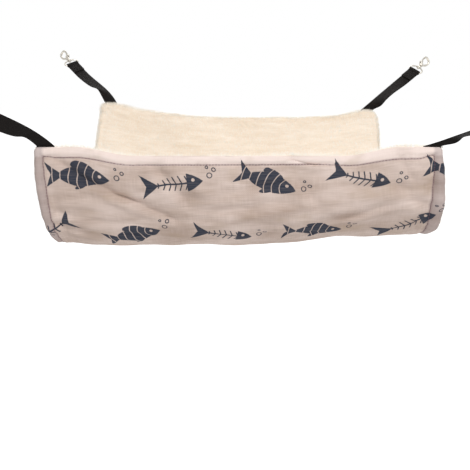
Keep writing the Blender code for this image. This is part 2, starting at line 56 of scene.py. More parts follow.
def linearColour(code):
    # sRGB hex to linear light: a straight line below 0.04045, a power of 2.4 above it
    shares = [int(code[place:place + 2], 16) / 255.0 for place in (1, 3, 5)]
    return [share / 12.92 if share <= 0.04045 else ((share + 0.055) / 1.055) ** 2.4 for share in shares] + [1.0]


def addNode(tree, kind, inputs=None, stops=None, **settings):
    # A node with its settings. Each input gets a value or a link from another socket; stops are a ramp's places
    # and colours.
    node = tree.nodes.new("ShaderNode" + kind)
    for name, value in settings.items():
        setattr(node, name, value)
    for socket, value in (inputs or {}).items():
        if isinstance(value, bpy.types.NodeSocket):
            tree.links.new(value, node.inputs[socket])
        else:
            node.inputs[socket].default_value = value
    for number, (position, code) in enumerate((stops or {}).items()):
        stop = node.color_ramp.elements[number]
        stop.position, stop.color = position, linearColour(code)
    return node


signs = {"+": "ADD", "-": "SUBTRACT", "*": "MULTIPLY", "*+": "MULTIPLY_ADD", "/": "DIVIDE"}


def valueOf(tree, values, entry):
    # A number, an earlier value by its name, or a node: its kind, or a Math operation in signs or capitals, and its
    # inputs, which are entries too. The least or greatest of several is taken two at a time.
    if not isinstance(entry, tuple):
        return values.get(entry, entry)
    kind, *inputs = entry
    if kind in ("MINIMUM", "MAXIMUM") and len(inputs) > 2:
        inputs = [(kind, *inputs[:-1]), inputs[-1]]
    settings = {}
    if kind == "Ease":
        kind, settings = "MapRange", {"interpolation_type": "SMOOTHSTEP"}
    elif kind in signs or kind.isupper():
        kind, settings = "Math", {"operation": signs.get(kind, kind)}
    inputs = [valueOf(tree, values, part) for part in inputs]
    return addNode(tree, kind, dict(enumerate(inputs)), **settings).outputs[0]


def addPattern(tree, values, rows):
    # Named entries, each worked out from the ones before it
    for name, entry in rows.items():
        values[name] = valueOf(tree, values, entry)
    return values


def newMaterial(name, sockets):
    # A Principled material; constants sit on the shader's own sockets
    material = bpy.data.materials.new(name)
    material.use_nodes = True
    for socket, value in sockets.items():
        material.node_tree.nodes["Principled BSDF"].inputs[socket].default_value = value
    return material, material.node_tree


def putOn(material, s, stops, strength=0.0, distance=1.0, overlays=()):
    # A pattern put on its shader: tone through a colour ramp, more colours laid over it by share, height as bump
    tree, shader = material.node_tree, material.node_tree.nodes["Principled BSDF"]
    colour = addNode(tree, "ValToRGB", {0: s["tone"]}, stops).outputs[0]
    for share, code in overlays:
        colour = addNode(tree, "Mix", {0: s[share], 6: colour, 7: linearColour(code)}, data_type="RGBA").outputs[2]
    tree.links.new(colour, shader.inputs["Base Color"])
    if strength:
        bump = addNode(tree, "Bump", {"Height": s["height"], "Strength": strength, "Distance": distance})
        tree.links.new(bump.outputs[0], shader.inputs["Normal"])
    return material


def unitRows(rows):
    # Each row divided by its length
    rows = np.asarray(rows, dtype=float)
    return rows / np.linalg.norm(rows, axis=-1, keepdims=True)


def stacked(*parts):
    # Several arrays as the last axis of one
    return np.stack(parts, axis=-1)


def ease(value, start=0.0, end=1.0):
    # Smooth step from start to end: the share of the way squared, times 3 less twice the share
    share = np.clip((value - start) / (end - start), 0.0, 1.0)
    return share * share * (3.0 - 2.0 * share)


def bell(offset, width):
    # A bell curve: e to the power of minus the square of offset over width
    return np.exp(-(offset / width) ** 2)


def turned(vectors, axes, angles):
    # Rodrigues: each vector turned about its unit axis
    cosine, sine = np.cos(angles)[..., None], np.sin(angles)[..., None]
    inAxis = (axes * vectors).sum(-1, keepdims=True)
    return vectors * cosine + np.cross(axes, vectors) * sine + axes * inAxis * (1.0 - cosine)


def spokes(first, second, sides):
    # Directions round each ring: cosine times the first vector plus sine times the second
    angles = 2.0 * math.pi * np.arange(sides) / sides
    return np.cos(angles)[:, None] * first[:, None] + np.sin(angles)[:, None] * second[:, None]


def roundWays(line):
    # Direction at each point of a closed line: from the point before to the point after
    return unitRows(np.roll(line, -1, axis=0) - np.roll(line, 1, axis=0))


def runLengths(line):
    # Length along a line up to each of its points
    return np.concatenate([[0.0], np.cumsum(np.linalg.norm(np.diff(line, axis=0), axis=1))])


def smoothLine(points, stepsEach=24):
    # Catmull-Rom curve through the points
    points = np.asarray(points, dtype=float)
    padded = np.vstack([2.0 * points[0] - points[1], points, 2.0 * points[-1] - points[-2]])
    share = np.linspace(0.0, 1.0, stepsEach, endpoint=False)[None, :, None]
    before, start, end, after = (padded[place:len(padded) - 3 + place, None] for place in range(4))
    run = 0.5 * (2.0 * start + (end - before) * share + (2.0 * before - 5.0 * start + 4.0 * end - after) * share ** 2
                 + (3.0 * start - before - 3.0 * end + after) * share ** 3)
    return np.vstack([run.reshape(-1, points.shape[1]), points[-1:]])


def makeMesh(name, points, faceGroups, material, uvs=None):
    # A mesh from whole arrays; each face group holds faces of one size
    mesh = bpy.data.meshes.new(name)
    loops = np.concatenate([group.ravel() for group in faceGroups]).astype(np.int32)
    counts = np.concatenate([np.full(len(group), group.shape[1]) for group in faceGroups])
    mesh.vertices.add(len(points))
    mesh.vertices.foreach_set("co", np.asarray(points, dtype=np.float32).ravel())
    mesh.loops.add(len(loops))
    mesh.loops.foreach_set("vertex_index", loops)
    mesh.polygons.add(len(counts))
    mesh.polygons.foreach_set("loop_start", np.concatenate([[0], np.cumsum(counts)[:-1]]).astype(np.int32))
    mesh.update(calc_edges=True)
    if uvs is not None:
        layer = mesh.uv_layers.new(name="cloth")
        layer.data.foreach_set("uv", np.asarray(uvs, dtype=np.float32)[loops].ravel())
    mesh.shade_smooth()
    mesh.materials.append(material)
    piece = bpy.data.objects.new(name, mesh)
    bpy.context.scene.collection.objects.link(piece)
    return piece


def dress(piece, body, slot, *nodes):
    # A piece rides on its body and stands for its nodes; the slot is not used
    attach(piece, body)
    if nodes:
        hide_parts(*nodes)


def facingOut(points, groups):
    # All faces turned round if the volume inside them, summed over each face's triangles, comes out negative
    volume = sum((points[group[:, :1]] * np.cross(points[group[:, 1:-1]], points[group[:, 2:]])).sum()
                 for group in groups)
    return [group[:, ::-1] for group in groups] if volume < 0.0 else groups


def gridFaces(rows, columns, closedRows=False, closedColumns=False):
    # Quads of a grid whose point (row, column) is number row * columns + column
    row = np.arange(rows if closedRows else rows - 1)[:, None]
    column = np.arange(columns if closedColumns else columns - 1)
    nextRow, nextColumn = (row + 1) % rows, (column + 1) % columns
    return stacked(row * columns + column, nextRow * columns + column, nextRow * columns + nextColumn,
                   row * columns + nextColumn).reshape(-1, 4)


def tubeFaces(points, rows, columns, closed=False):
    # Faces of a tube made of rings, which runs back into itself or is closed by one face at each end
    groups = [gridFaces(rows, columns, closed, True)]
    if not closed:
        ring = np.arange(columns)[None]
        groups += [ring, (rows - 1) * columns + ring[:, ::-1]]
    return facingOut(points, groups)


def joined(solids):
    # Several closed shells as one run of points and faces
    points, groups, count = [], [], 0
    for shellPoints, shellGroups in solids:
        points.append(shellPoints)
        groups += [group + count for group in shellGroups]
        count += len(shellPoints)
    return np.vstack(points), groups


bed = {
    "hangCentre": (0.00761032, 0.17382944, 0.064764),
    "width": 0.450, "backWidth": 0.459, "backShift": 0.0025, "span": 0.2935, "drop": 0.140,
    # the cross-section from the front edge to the back one, as shares of the span and the drop
    "section": ((0.0, 0.0), (-0.024, -0.29), (-0.014, -0.61), (0.061, -0.87), (0.211, -1.0),
                (0.409, -0.977), (0.613, -0.824), (0.818, -0.504), (1.0, -0.025)),
    "rightLift": 0.12, "sideLift": 0.03, "frontDip": 0.010, "frontReach": 0.35, "dipTo": 0.80, "dipFade": 0.28,
    "backDip": 0.014, "backTilt": 0.006, "backFrom": 0.62, "strapPull": 0.006, "pullReach": 0.13,
    "sway": 0.002, "swayTurns": 1.75, "sideBulge": 0.006, "bellyShift": 0.0035, "bellyShare": 0.60,
    "frontFlank": 0.0050, "backFlank": 0.0060,
}
hem = {"stitchInset": 0.010, "pucker": 0.00050, "puckerPitch": 0.0105, "puckerIn": 0.010, "puckerOut": 0.005,
       "cornerRadii": (0.005, 0.005, 0.007, 0.016),  # front left, front right, back left, back right
       # the stitching wanders further in along the front (from, to, left and right spread) and down the right side
       "frontFrom": 0.35, "frontTo": 0.80, "frontFade": 0.08, "leftSpread": 0.0015, "rightSpread": 0.0045,
       "sideSpread": 0.0045, "sideFrom": 0.010, "sideTo": 0.090, "sideEnd": 0.220, "sideFade": 0.080}
# Heights over the cloth's middle, back for the hidden face; swells across the hem: height, distance in, width
coverFace = {"height": 0.0010, "edge": 0.0, "overTail": 0.0004, "rounding": 0.0028, "back": 0.0001,
             "swells": ((0.0018, 0.005, 0.0032), (0.0005, 0.015, 0.0030), (-0.0012, 0.010, 0.0013))}
liningFace = {"height": 0.0034, "edge": 0.0004, "overTail": 0.0012, "rounding": 0.0035,
              "back": 0.0003, "backOverTail": 0.0016, "backRounding": 0.002,
              "swells": ((0.0006, 0.006, 0.0040), (-0.0004, 0.010, 0.0030))}
strapSeat = {"front": 0.0015, "back": 0.006, "width": 0.020, "tail": 0.024, "fade": 0.003}  # inset, size, soft edge
# Slow and quick ripples: height as a share of the pitch, number, and the lowest and highest pitch, heading and
# phase of the slow ones, and pitch, tilt, phase and run of the quick ones
ripple = {"seed": 11, "slow": 0.0055, "slowWaves": 14, "slowLow": (0.03, 0.0, 0.0), "slowHigh": (0.11, math.pi, 6.3),
          "quick": 0.0150, "quickWaves": 12, "quickLow": (0.014, -0.3, 0.0, 0.08), "quickHigh": (0.030, 0.3, 6.3, 0.24)}
# Creases in millimetres from u, v to u, v, then width and height: what hanging and folding have left in the canvas
creases = 0.001 * np.array((
    (30, 18, 52, 34, 4.2, -3.0), (52, 34, 90, 49, 4.6, -4.2), (86, 51, 108, 54, 4.6, -3.6),
    (106, 56, 142, 75, 5.0, -3.6), (284, 4, 308, 9.5, 2.6, -2.6), (296, 36, 308, 56, 6.5, -2.6),
    (404, 18, 412, 34, 4.5, -2.0), (410, 58, 422, 70, 8.0, -3.6), (14, 50, 24, 120, 7.0, -2.2),
    (436, 40, 424, 115, 7.0, -2.2), (150, 16, 176, 36, 7.0, 2.8), (140, 22, 160, 48, 6.0, -2.4),
    (108, 108, 160, 120, 5.5, -2.4), (20, 94, 52, 106, 5.0, -2.8), (24, 78, 60, 84, 5.0, -2.0),
    (226, 40, 262, 34, 5.5, -2.0), (205, 68, 266, 58, 6.5, -2.6), (330, 86, 376, 74, 6.5, -2.8),
    (348, 40, 372, 46, 5.5, -2.2), (240, 104, 300, 112, 7.0, -2.4), (180, 330, 270, 350, 9.0, -1.8),
    (70, 380, 140, 360, 9.0, 1.6),
))

sectionLine = smoothLine(np.array(bed["section"]) * (bed["span"], bed["drop"]))
sectionLengths = runLengths(sectionLine)
clothDepth = sectionLengths[-1]
hangCentre = np.array(bed["hangCentre"])


threadPitch = 0.0011  # canvas threads are about 0.55 mm apart, drawn twice as coarse so that they show
cordPitch, ribPitch = 0.00125, 0.0017  # cords across the webbing and ribs along it, at their real size
# Bands at the cut's edges and beside the stitching, and how far each mark goes: a painted highlight on the front and
# back hems, painted shade on the side hems and in the groove along the stitching, and real stains
stainsAndPaintedLight = {"edgeBand": (0.0125, 0.0080), "seamBand": (0.0016, 0.0004), "rubbed": 0.58, "paintedSideShade": 0.42, "seam": 0.45,
        "stainFrom": 0.56, "stainTo": 0.80, "stained": 0.55}
fishPrint = {
    "columnPitch": 0.104, "rowPitch": 0.074, "firstRow": 0.08, "scale": 1.22, "turn": 0.55, "wobble": 0.0007,
    "bodyRadius": 0.0351, "bodyRise": 0.0256, "tailRoot": 0.019, "tailSpread": -0.72, "tailLength": 0.009,
    "edge": 0.00022, "ribPitch": 0.0054, "ink": "#293140",
    # x, y and radius of each bubble
    "bubbles": ((0.0305, -0.0040, 0.0022), (0.0350, -0.0090, 0.0015), (0.0290, -0.0120, 0.0010)),
}


def clothPattern(tree, grains):
    # The cloth's own UV map in metres, and cloudy grains stretched over it, each given as grains per metre across,
    # grains per metre along, and detail
    uv = addNode(tree, "UVMap", uv_map="cloth").outputs[0]
    values = {"uv": uv}
    for name, (across, along, detail) in grains.items():
        placed = addNode(tree, "Mapping", {"Vector": uv, "Scale": (across, along, 1.0)}).outputs[0]
        values[name] = addNode(tree, "TexNoise", {"Vector": placed, "Scale": 1.0, "Detail": detail}).outputs[0]
    return values


def circle(x, y, radius):
    # Distance to a circle: the root of x squared plus y squared, less the radius
    return "-", ("SQRT", ("*+", y, y, ("*", x, x))), radius


def fishInk(tree, s):
    # Distance fields on the cloth's own metres. Each cell holds a fish or a fish bone, turned and mirrored at
    # random: a body between two circles, a wedge tail with a notch, two oval fins, bare arcs, and rings for bubbles.
    cell = fishPrint
    addPattern(tree, s, {
        "uEdge": ("*+", "wobble", cell["wobble"], "u"), "vEdge": ("*+", "wobble", -cell["wobble"], "v"),
        "rowPlace": ("*+", "vEdge", 1.0 / cell["rowPitch"], cell["firstRow"]), "row": ("FLOOR", "rowPlace"),
        "columnPlace": ("*+", "row", 0.5, ("*", "uEdge", 1.0 / cell["columnPitch"])),
        "column": ("FLOOR", "columnPlace"),
        "cellX": ("*+", ("-", "columnPlace", "column"), cell["columnPitch"], -0.5 * cell["columnPitch"]),
        "cellY": ("*+", ("-", "rowPlace", "row"), cell["rowPitch"], -0.5 * cell["rowPitch"]),
        "chance": ("TexWhiteNoise", ("CombineXYZ", "column", "row", 3.7)),
        "angle": ("*+", "chance", 2.0 * cell["turn"], -cell["turn"]), "cosine": ("COSINE", "angle"),
        "sine": ("SINE", "angle"), "flip": ("SIGN", ("-", ("FRACT", ("*", "chance", 7.0)), 0.5)),
        "x": ("/", ("*", ("*+", "cellY", "sine", ("*", "cellX", "cosine")), "flip"), cell["scale"]),
        "y": ("/", ("-", ("*", "cellY", "cosine"), ("*", "cellX", "sine")), cell["scale"]), "yAway": ("ABSOLUTE", "y"),
        # body: the overlap of two circles
        "yRaised": ("+", "yAway", cell["bodyRise"]), "body": circle("x", "yRaised", cell["bodyRadius"]),
        # tail: a wedge that widens backwards, with a notched end
        "back": ("*+", "x", -1.0, -cell["tailRoot"]),
        "tail": ("MAXIMUM", ("-", ("*+", "back", cell["tailSpread"], "yAway"), 0.0018),
                 ("-", ("*+", "yAway", -0.45, "back"), cell["tailLength"]), ("*+", "back", -1.0, -0.004)),
        # fins: a long slanted oval on the back and a short one under the belly
        "finRise": ("+", "y", 0.0082), "finX": ("*", ("*+", "finRise", -0.9, "x"), 105.0),
        "finY": ("*", "finRise", 190.0), "fin": ("*", circle("finY", "finX", 1.0), 0.006),
        "lowRise": ("-", "y", 0.0085), "lowX": ("*", ("*+", "lowRise", 1.3, "x"), 250.0),
        "lowY": ("*", "lowRise", 230.0), "low": ("*", circle("lowY", "lowX", 1.0), 0.004),
        # gill and scales: arcs left bare, one behind the other
        "gillX": ("-", "x", 0.0200), "gillOff": ("MAXIMUM", circle("gillX", "y", 0.0110), -0.0025),
        "gill": ("*+", ("ABSOLUTE", ("WRAP", "gillOff", 0.0036, -0.0036)), -1.0, 0.00036),
        "fish": ("MAXIMUM", ("MINIMUM", "body", "tail", "fin", "low"), "gill"),
        # bones: a spine, slanted ribs inside the body's outline, a head and the same tail
        "ribPlace": ("WRAP", ("*+", "yAway", 0.45, "x"), 0.5 * cell["ribPitch"], -0.5 * cell["ribPitch"]),
        "rib": ("MAXIMUM", ("-", ("ABSOLUTE", "ribPlace"), 0.00062), ("+", "body", 0.0022)),
        "spine": ("MAXIMUM", ("-", "yAway", 0.0008), ("-", ("ABSOLUTE", ("+", "x", 0.004)), 0.019)),
        "head": ("MAXIMUM", "body", ("*+", "x", -1.0, 0.0095)), "bones": ("MINIMUM", "rib", "spine", "head", "tail"),
        # every other cell gets the bones, and each fish an eye left bare
        "odd": ("FLOORED_MODULO", ("+", "column", "row"), 2.0), "either": ("*+", "odd", ("-", "bones", "fish"), "fish"),
        "eyeX": ("-", "x", 0.0152), "eyeY": ("+", "y", 0.0018),
        "motif": ("MAXIMUM", "either", ("*", circle("eyeX", "eyeY", 0.0015), -1.0)),
    })
    for x, y, radius in cell["bubbles"]:
        addPattern(tree, s, {"ringX": ("-", "x", x), "ringY": ("-", "y", y),
                             "ring": ("-", ("ABSOLUTE", circle("ringX", "ringY", radius)), 0.00045),
                             "motif": ("MINIMUM", "motif", "ring")})
    return valueOf(tree, s, ("MapRange", "motif", cell["edge"], -cell["edge"]))


def printedCanvas():
    # Plain-weave cotton canvas, screen printed: matt and a little slubby, the ink sunk into the threads, rippled
    # where it has hung, faintly yellowed in patches, painted paler along the front and back hems as a painted
    # highlight, painted greyer at the sides and along the stitching as painted shade
    material, tree = newMaterial("printed cotton canvas", {
        "Roughness": 0.92, "Sheen Weight": 0.04, "Sheen Roughness": 0.6, "Specular IOR Level": 0.12})
    s = clothPattern(tree, {"weftSlub": (45.0, 900.0, 3.0), "warpSlub": (900.0, 45.0, 3.0), "ripple": (11.0, 95.0, 2.0),
                            "patch": (16.0, 34.0, 2.0), "stain": (24.0, 30.0, 3.0), "wobble": (420.0, 420.0, 2.0)})
    s["u"], s["v"] = addNode(tree, "SeparateXYZ", {0: s["uv"]}).outputs[:2]
    inset, half = hem["stitchInset"], bed["width"] / 2.0
    addPattern(tree, s, {
        "weave": ("*", *(("SINE", ("*", way, math.pi / threadPitch)) for way in "uv")),
        # where the stitching wanders in, as seamInset has it
        "uRight": ("-", bed["width"], "u"), "uNear": ("MINIMUM", "u", "uRight"),
        **{name: ("Ease", "u", half + side * hem["frontFrom"], half + side * hem["frontTo"], 0.0, hem[spread])
           for name, side, spread in (("leftIn", -half, "leftSpread"), ("rightIn", half, "rightSpread"))},
        "corner": ("Ease", "uNear", inset, inset + half * hem["frontFade"], 0.0, 1.0),
        "sideIn": ("Ease", "v", hem["sideFrom"], hem["sideTo"], 0.0, hem["sideSpread"]),
        "sideOut": ("Ease", "v", hem["sideEnd"], hem["sideEnd"] - hem["sideFade"], 0.0, 1.0),
        # distance to the front or back edge, to a side edge and to the stitching, by the stitching's own measure
        "frontInset": ("*+", ("+", "leftIn", "rightIn"), "corner", inset),
        "sideInset": ("*+", "sideIn", "sideOut", inset),
        "fromEdge": ("MINIMUM", ("*", "v", ("/", inset, "frontInset")), ("-", clothDepth, "v")),
        "fromSide": ("MINIMUM", ("*", "uRight", ("/", inset, "sideInset")), "u"),
        "seamAway": ("ABSOLUTE", ("-", ("MINIMUM", "fromEdge", "fromSide"), inset)),
        # painted highlight on the front and back hems, painted shade on the side hems, painted shade in the groove
        # along the stitching
        **{name: ("Ease", place, *stainsAndPaintedLight[band], 0.0, stainsAndPaintedLight[name]) for name, place, band in (
            ("rubbed", "fromEdge", "edgeBand"), ("paintedSideShade", "fromSide", "edgeBand"), ("seam", "seamAway", "seamBand"))},
        "stained": ("MapRange", "stain", stainsAndPaintedLight["stainFrom"], stainsAndPaintedLight["stainTo"], 0.0, stainsAndPaintedLight["stained"]),
        "slubs": ("*+", "warpSlub", 0.6, "weftSlub"),
        "plain": ("+", ("*+", "slubs", 0.50, -0.09), ("*+", "patch", 1.1, -0.5)),
        # the tone takes the painted highlight of the front and back hems
        "tone": ("*+", "weave", 0.05, ("+", "plain", "rubbed")),
        "height": ("*+", "weave", 0.00004, ("*+", "ripple", 0.0012, ("*", "slubs", 0.00016))),
    })
    s["ink"] = fishInk(tree, s)
    s["cover"] = valueOf(tree, s, ("*", "ink", ("*+", "weftSlub", -0.25, 1.08)))
    # laid over the tone: real stains, painted shade on the side hems, painted shade along the stitching, then the print
    return putOn(material, s, {0.10: "#b39e91", 0.90: "#eddcd4"}, 1.0, overlays=(
        ("stained", "#b7a18b"), ("paintedSideShade", "#93878b"), ("seam", "#8f7a78"), ("cover", fishPrint["ink"])))


def creamPlush():
    # Short-pile polyester plush, brushed: soft and bright, with faint combed streaks and a pale sheen at its edges
    material, tree = newMaterial("short-pile plush", {
        "Roughness": 1.0, "Specular IOR Level": 0.1, "Sheen Weight": 0.35, "Sheen Roughness": 0.5,
        "Sheen Tint": linearColour("#fff6ea")})
    s = clothPattern(tree, {"streak": (60.0, 260.0, 3.0), "patch": (12.0, 25.0, 2.0), "tuft": (700.0, 900.0, 2.0)})
    addPattern(tree, s, {"tone": ("*+", ("+", "streak", "patch"), 0.9, -0.4),
                         "height": ("*+", "streak", 0.0012, ("*", "tuft", 0.0009))})
    return putOn(material, s, {0.2: "#f0dfca", 0.8: "#fbefe0"}, 0.6)


def plushFibre():
    # Brushed polyester fibre: fine and matt, painted paler than its ground as painted light, standing in for the light
    # that passes through each hair and for the shade the tufts cast on one another
    material, tree = newMaterial("brushed polyester fibre", {
        "Roughness": 0.9, "Specular IOR Level": 0.1, "Sheen Weight": 0.45, "Sheen Roughness": 0.4,
        "Sheen Tint": linearColour("#fffaf2")})
    return putOn(material, clothPattern(tree, {"tone": (30.0, 120.0, 3.0)}), {0.3: "#fcf4e8", 0.7: "#fffdf8"})


def blackWebbing():
    # Woven polypropylene webbing, dope dyed: dull black with a slight plastic shine on each rib
    material, tree = newMaterial("woven polypropylene webbing", {"Roughness": 0.66, "Specular IOR Level": 0.10})
    s = clothPattern(tree, {"fibre": (2600.0, 500.0, 3.0)})
    s["u"], s["v"] = addNode(tree, "SeparateXYZ", {0: s["uv"]}).outputs[:2]
    addPattern(tree, s, {
        "cross": ("*", ("SINE", ("*", "u", 2.0 * math.pi / cordPitch)),
                  ("COSINE", ("*", "v", 2.0 * math.pi / ribPitch))),
        "height": ("*+", "fibre", 0.00018, ("*", "cross", 0.00012)),
        "tone": ("*+", "cross", 0.16, "fibre"),
    })
    return putOn(material, s, {0.3: "#0b0908", 0.75: "#1f1a18"}, 0.8)


def sewingThread(name, dark, light):
    # Spun polyester thread: matt, with the fine slant of its twist
    material, tree = newMaterial(name, {"Roughness": 0.75, "Specular IOR Level": 0.3})
    place = addNode(tree, "TexCoord").outputs["Object"]
    twist = addNode(tree, "TexWave", {"Vector": place, "Scale": 900.0, "Distortion": 1.5},
                    bands_direction="DIAGONAL").outputs[1]
    return putOn(material, {"tone": twist, "height": twist}, {0.0: dark, 1.0: light}, 0.3, 0.0001)


def platedMetal(name, dark, light, roughness):
    # Plated zinc or drawn steel: a bright warm grey with faint pits and a little uneven polish
    material, tree = newMaterial(name, {"Metallic": 1.0, "Roughness": roughness})
    place = addNode(tree, "TexCoord").outputs["Object"]
    s = {part: addNode(tree, "TexNoise", {"Vector": place, "Scale": scale, "Detail": detail}).outputs[0]
         for part, scale, detail in (("tone", 260.0, 4.0), ("height", 2200.0, 2.0))}
    polish = addNode(tree, "MapRange", {"Value": s["tone"], "To Min": roughness - 0.07, "To Max": roughness + 0.08})
    tree.links.new(polish.outputs[0], tree.nodes["Principled BSDF"].inputs["Roughness"])
    return putOn(material, s, {0.3: dark, 0.7: light}, 0.12, 0.0002)


canvas, plush, plushPile, webbing = printedCanvas(), creamPlush(), plushFibre(), blackWebbing()
mauveThread = sewingThread("mauve sewing thread", "#5a4148", "#7d6168")
blackThread = sewingThread("black sewing thread", "#15110f", "#2c2623")
nickel = platedMetal("nickel-plated zinc", "#b4afa6", "#cfcac1", 0.24)
pinSteel = platedMetal("drawn steel pin", "#a8a6a2", "#c2c0bc", 0.32)
print("materials made")


def hungPoint(across, along):
    # The cloth's middle: its cross-section read at the arc length, spread over a width that bulges in the middle,
    # with the edges dipping between the straps. Across runs -1 to 1, along 0 in front to 1 at the back.
    y, z = (np.interp(along * clothDepth, sectionLengths, sectionLine[:, axis]) for axis in (0, 1))
    off = np.abs(across)
    lift = 1.0 - bed["rightLift"] * ease(across, -0.1, 1.0) - bed["sideLift"] * off ** 10
    front, back = 1.0 - ease(along, 0.0, bed["frontReach"]), ease(along, bed["backFrom"], 1.0)
    z = z * lift - bed["frontDip"] * ease((bed["dipTo"] - off) / bed["dipFade"]) * front
    z = z - bed["backDip"] * (1.0 - across ** 2) * back
    root = 1.0 - (strapSeat["back"] + strapSeat["width"]) / (bed["backWidth"] / 2.0)
    pull = bell(off - root, bed["pullReach"]) - bell(root, bed["pullReach"])
    z = z + (bed["strapPull"] * pull - bed["backTilt"] * across) * back
    y = y + bed["sway"] * np.sin(math.pi * along) * np.cos(2.0 * math.pi * bed["swayTurns"] * across)
    half = bed["width"] / 2.0 + (bed["backWidth"] - bed["width"]) / 2.0 * along
    x = across * (half + bed["sideBulge"] * (1.0 - (2.0 * along - 1.0) ** 4)) + bed["backShift"] * along
    flank = ease(across, 0.5, 1.0)
    belly = np.sin(math.pi * np.clip(along / bed["bellyShare"], 0.0, 1.0)) ** 2
    waist = np.sin(math.pi * np.clip((along - 0.5) / 0.5, 0.0, 1.0)) ** 2
    x = x + belly * (bed["bellyShift"] + bed["frontFlank"] * flank) - bed["backFlank"] * waist * flank
    return stacked(x, y, z) - hangCentre


def normalOf(surface, u, v, step=0.0008):
    # Outward normal of a surface over u and v: the cross product of its central differences
    aside = surface(u + step, v) - surface(u - step, v)
    onward = surface(u, v + step) - surface(u, v - step)
    return unitRows(np.cross(onward, aside))


def flatSurface(u, v):
    # The hung shape without its wrinkles, u and v in metres from the front left corner
    return hungPoint(2.0 * u / bed["width"] - 1.0, v / clothDepth)


def seamInset(u, v):
    # How far in the stitching runs: from the front edge at u, and from the right edge at v
    across = 2.0 * u / bed["width"] - 1.0
    spread = np.where(across > 0.0, hem["rightSpread"], hem["leftSpread"])
    rise = ease(np.abs(across), hem["frontFrom"], hem["frontTo"])
    fade = ease((1.0 - np.abs(across) - 2.0 * hem["stitchInset"] / bed["width"]) / hem["frontFade"])
    side = ease(v, hem["sideFrom"], hem["sideTo"]) * ease((hem["sideEnd"] - v) / hem["sideFade"])
    return hem["stitchInset"] + spread * rise * fade, hem["stitchInset"] + hem["sideSpread"] * side


def fromEdges(u, v):
    # Distance to the nearer side edge and to the nearer of front and back
    return np.minimum(u, bed["width"] - u), np.minimum(v, clothDepth - v)


def sewnDistance(u, v, side, end):
    # Distance to the nearest edge, scaled so that the stitching runs at one inset all round
    front, right = seamInset(u, v)
    side = np.where(u > bed["width"] / 2.0, side * hem["stitchInset"] / right, side)
    end = np.where(v < clothDepth / 2.0, end * hem["stitchInset"] / front, end)
    return np.minimum(side, end)


def wrinkleHeight(u, v):
    # Creases are ridges with a shallow return beside them; ripples are sums of waves; puckers fade from the stitching
    height = np.zeros(np.broadcast(u, v).shape)
    for *places, width, size in creases:
        start, run = np.array(places[:2]), np.subtract(places[2:], places[:2])
        length = np.linalg.norm(run)
        run = run / length
        along = (u - start[0]) * run[0] + (v - start[1]) * run[1]
        aside = (v - start[1]) * run[0] - (u - start[0]) * run[1]
        over = np.maximum(np.maximum(-along, along - length), 0.0)
        height += size * bell(over, 2.5 * width) * (bell(aside, width) - 0.45 * bell(aside - 1.7 * width, 1.2 * width))
    waves = np.random.default_rng(ripple["seed"])
    for _ in range(ripple["slowWaves"]):
        pitch, heading, phase = waves.uniform(ripple["slowLow"], ripple["slowHigh"])
        turn = (0.6 * u * math.cos(heading) + v * math.sin(heading)) / pitch
        height += ripple["slow"] * pitch * np.sin(2.0 * math.pi * turn + phase)
    for _ in range(ripple["quickWaves"]):
        pitch, tilt, phase, run = waves.uniform(ripple["quickLow"], ripple["quickHigh"])
        patch = np.sin(2.0 * math.pi * u / run + 2.0 * phase) * np.sin(2.0 * math.pi * v / (0.5 * run) + 3.0 * phase)
        height += ripple["quick"] * pitch * patch * np.sin(2.0 * math.pi * (v + tilt * u) / pitch + phase)
    shift = 0.3 * np.sin(u * 61.0) + 0.3 * np.sin(v * 47.0 + 1.0)
    pucker = np.sin(2.0 * math.pi * (u + v) / hem["puckerPitch"] + 4.0 * shift) * (0.6 + 0.4 * np.sin((u - v) * 83.0))
    fromStitch = sewnDistance(u, v, *fromEdges(u, v)) - hem["stitchInset"]
    fade = np.where(fromStitch > 0.0, hem["puckerIn"], hem["puckerOut"])
    return height + hem["pucker"] * pucker * bell(fromStitch, fade)


def clothPoint(u, v):
    # The hung surface, moved along its own normal by the wrinkles
    return flatSurface(u, v) + normalOf(flatSurface, u, v) * wrinkleHeight(u, v)[..., None]


def roundedCut(u, v):
    # Square corners turned into round ones: in a corner of radius r, the shares a and b of the way out become
    # a * sqrt(1 - b^2 / 2) and b * sqrt(1 - a^2 / 2)
    width, depth = bed["width"], clothDepth
    frontLeft, frontRight, backLeft, backRight = hem["cornerRadii"]
    radius = np.where(v < depth / 2.0, np.where(u < width / 2.0, frontLeft, frontRight),
                      np.where(u < width / 2.0, backLeft, backRight))
    fromSide, fromEnd = fromEdges(u, v)
    a, b = np.clip(1.0 - fromSide / radius, 0.0, 1.0), np.clip(1.0 - fromEnd / radius, 0.0, 1.0)
    outA, outB = a * np.sqrt(1.0 - b * b / 2.0), b * np.sqrt(1.0 - a * a / 2.0)
    side = np.where(a > 0.0, radius * (1.0 - outA), fromSide)
    end = np.where(b > 0.0, radius * (1.0 - outB), fromEnd)
    edge = np.where((a > 0.0) & (b > 0.0), radius * (1.0 - np.hypot(outA, outB)), sewnDistance(u, v, side, end))
    return (np.where(u < width / 2.0, side, width - side), np.where(v < depth / 2.0, end, depth - end),
            np.maximum(edge, 0.0))


def overTail(u, v):
    # How far a point lies over a sewn-in strap end: 1 on it, 0 away from it
    fromSide, fromEnd = fromEdges(u, v)
    inset, fade = np.where(v > clothDepth / 2.0, strapSeat["back"], strapSeat["front"]), strapSeat["fade"]
    return (ease((fromSide - inset + 0.002) / fade) * ease((inset + strapSeat["width"] + fade - fromSide) / fade)
            * ease((strapSeat["tail"] + fade - fromEnd) / fade))


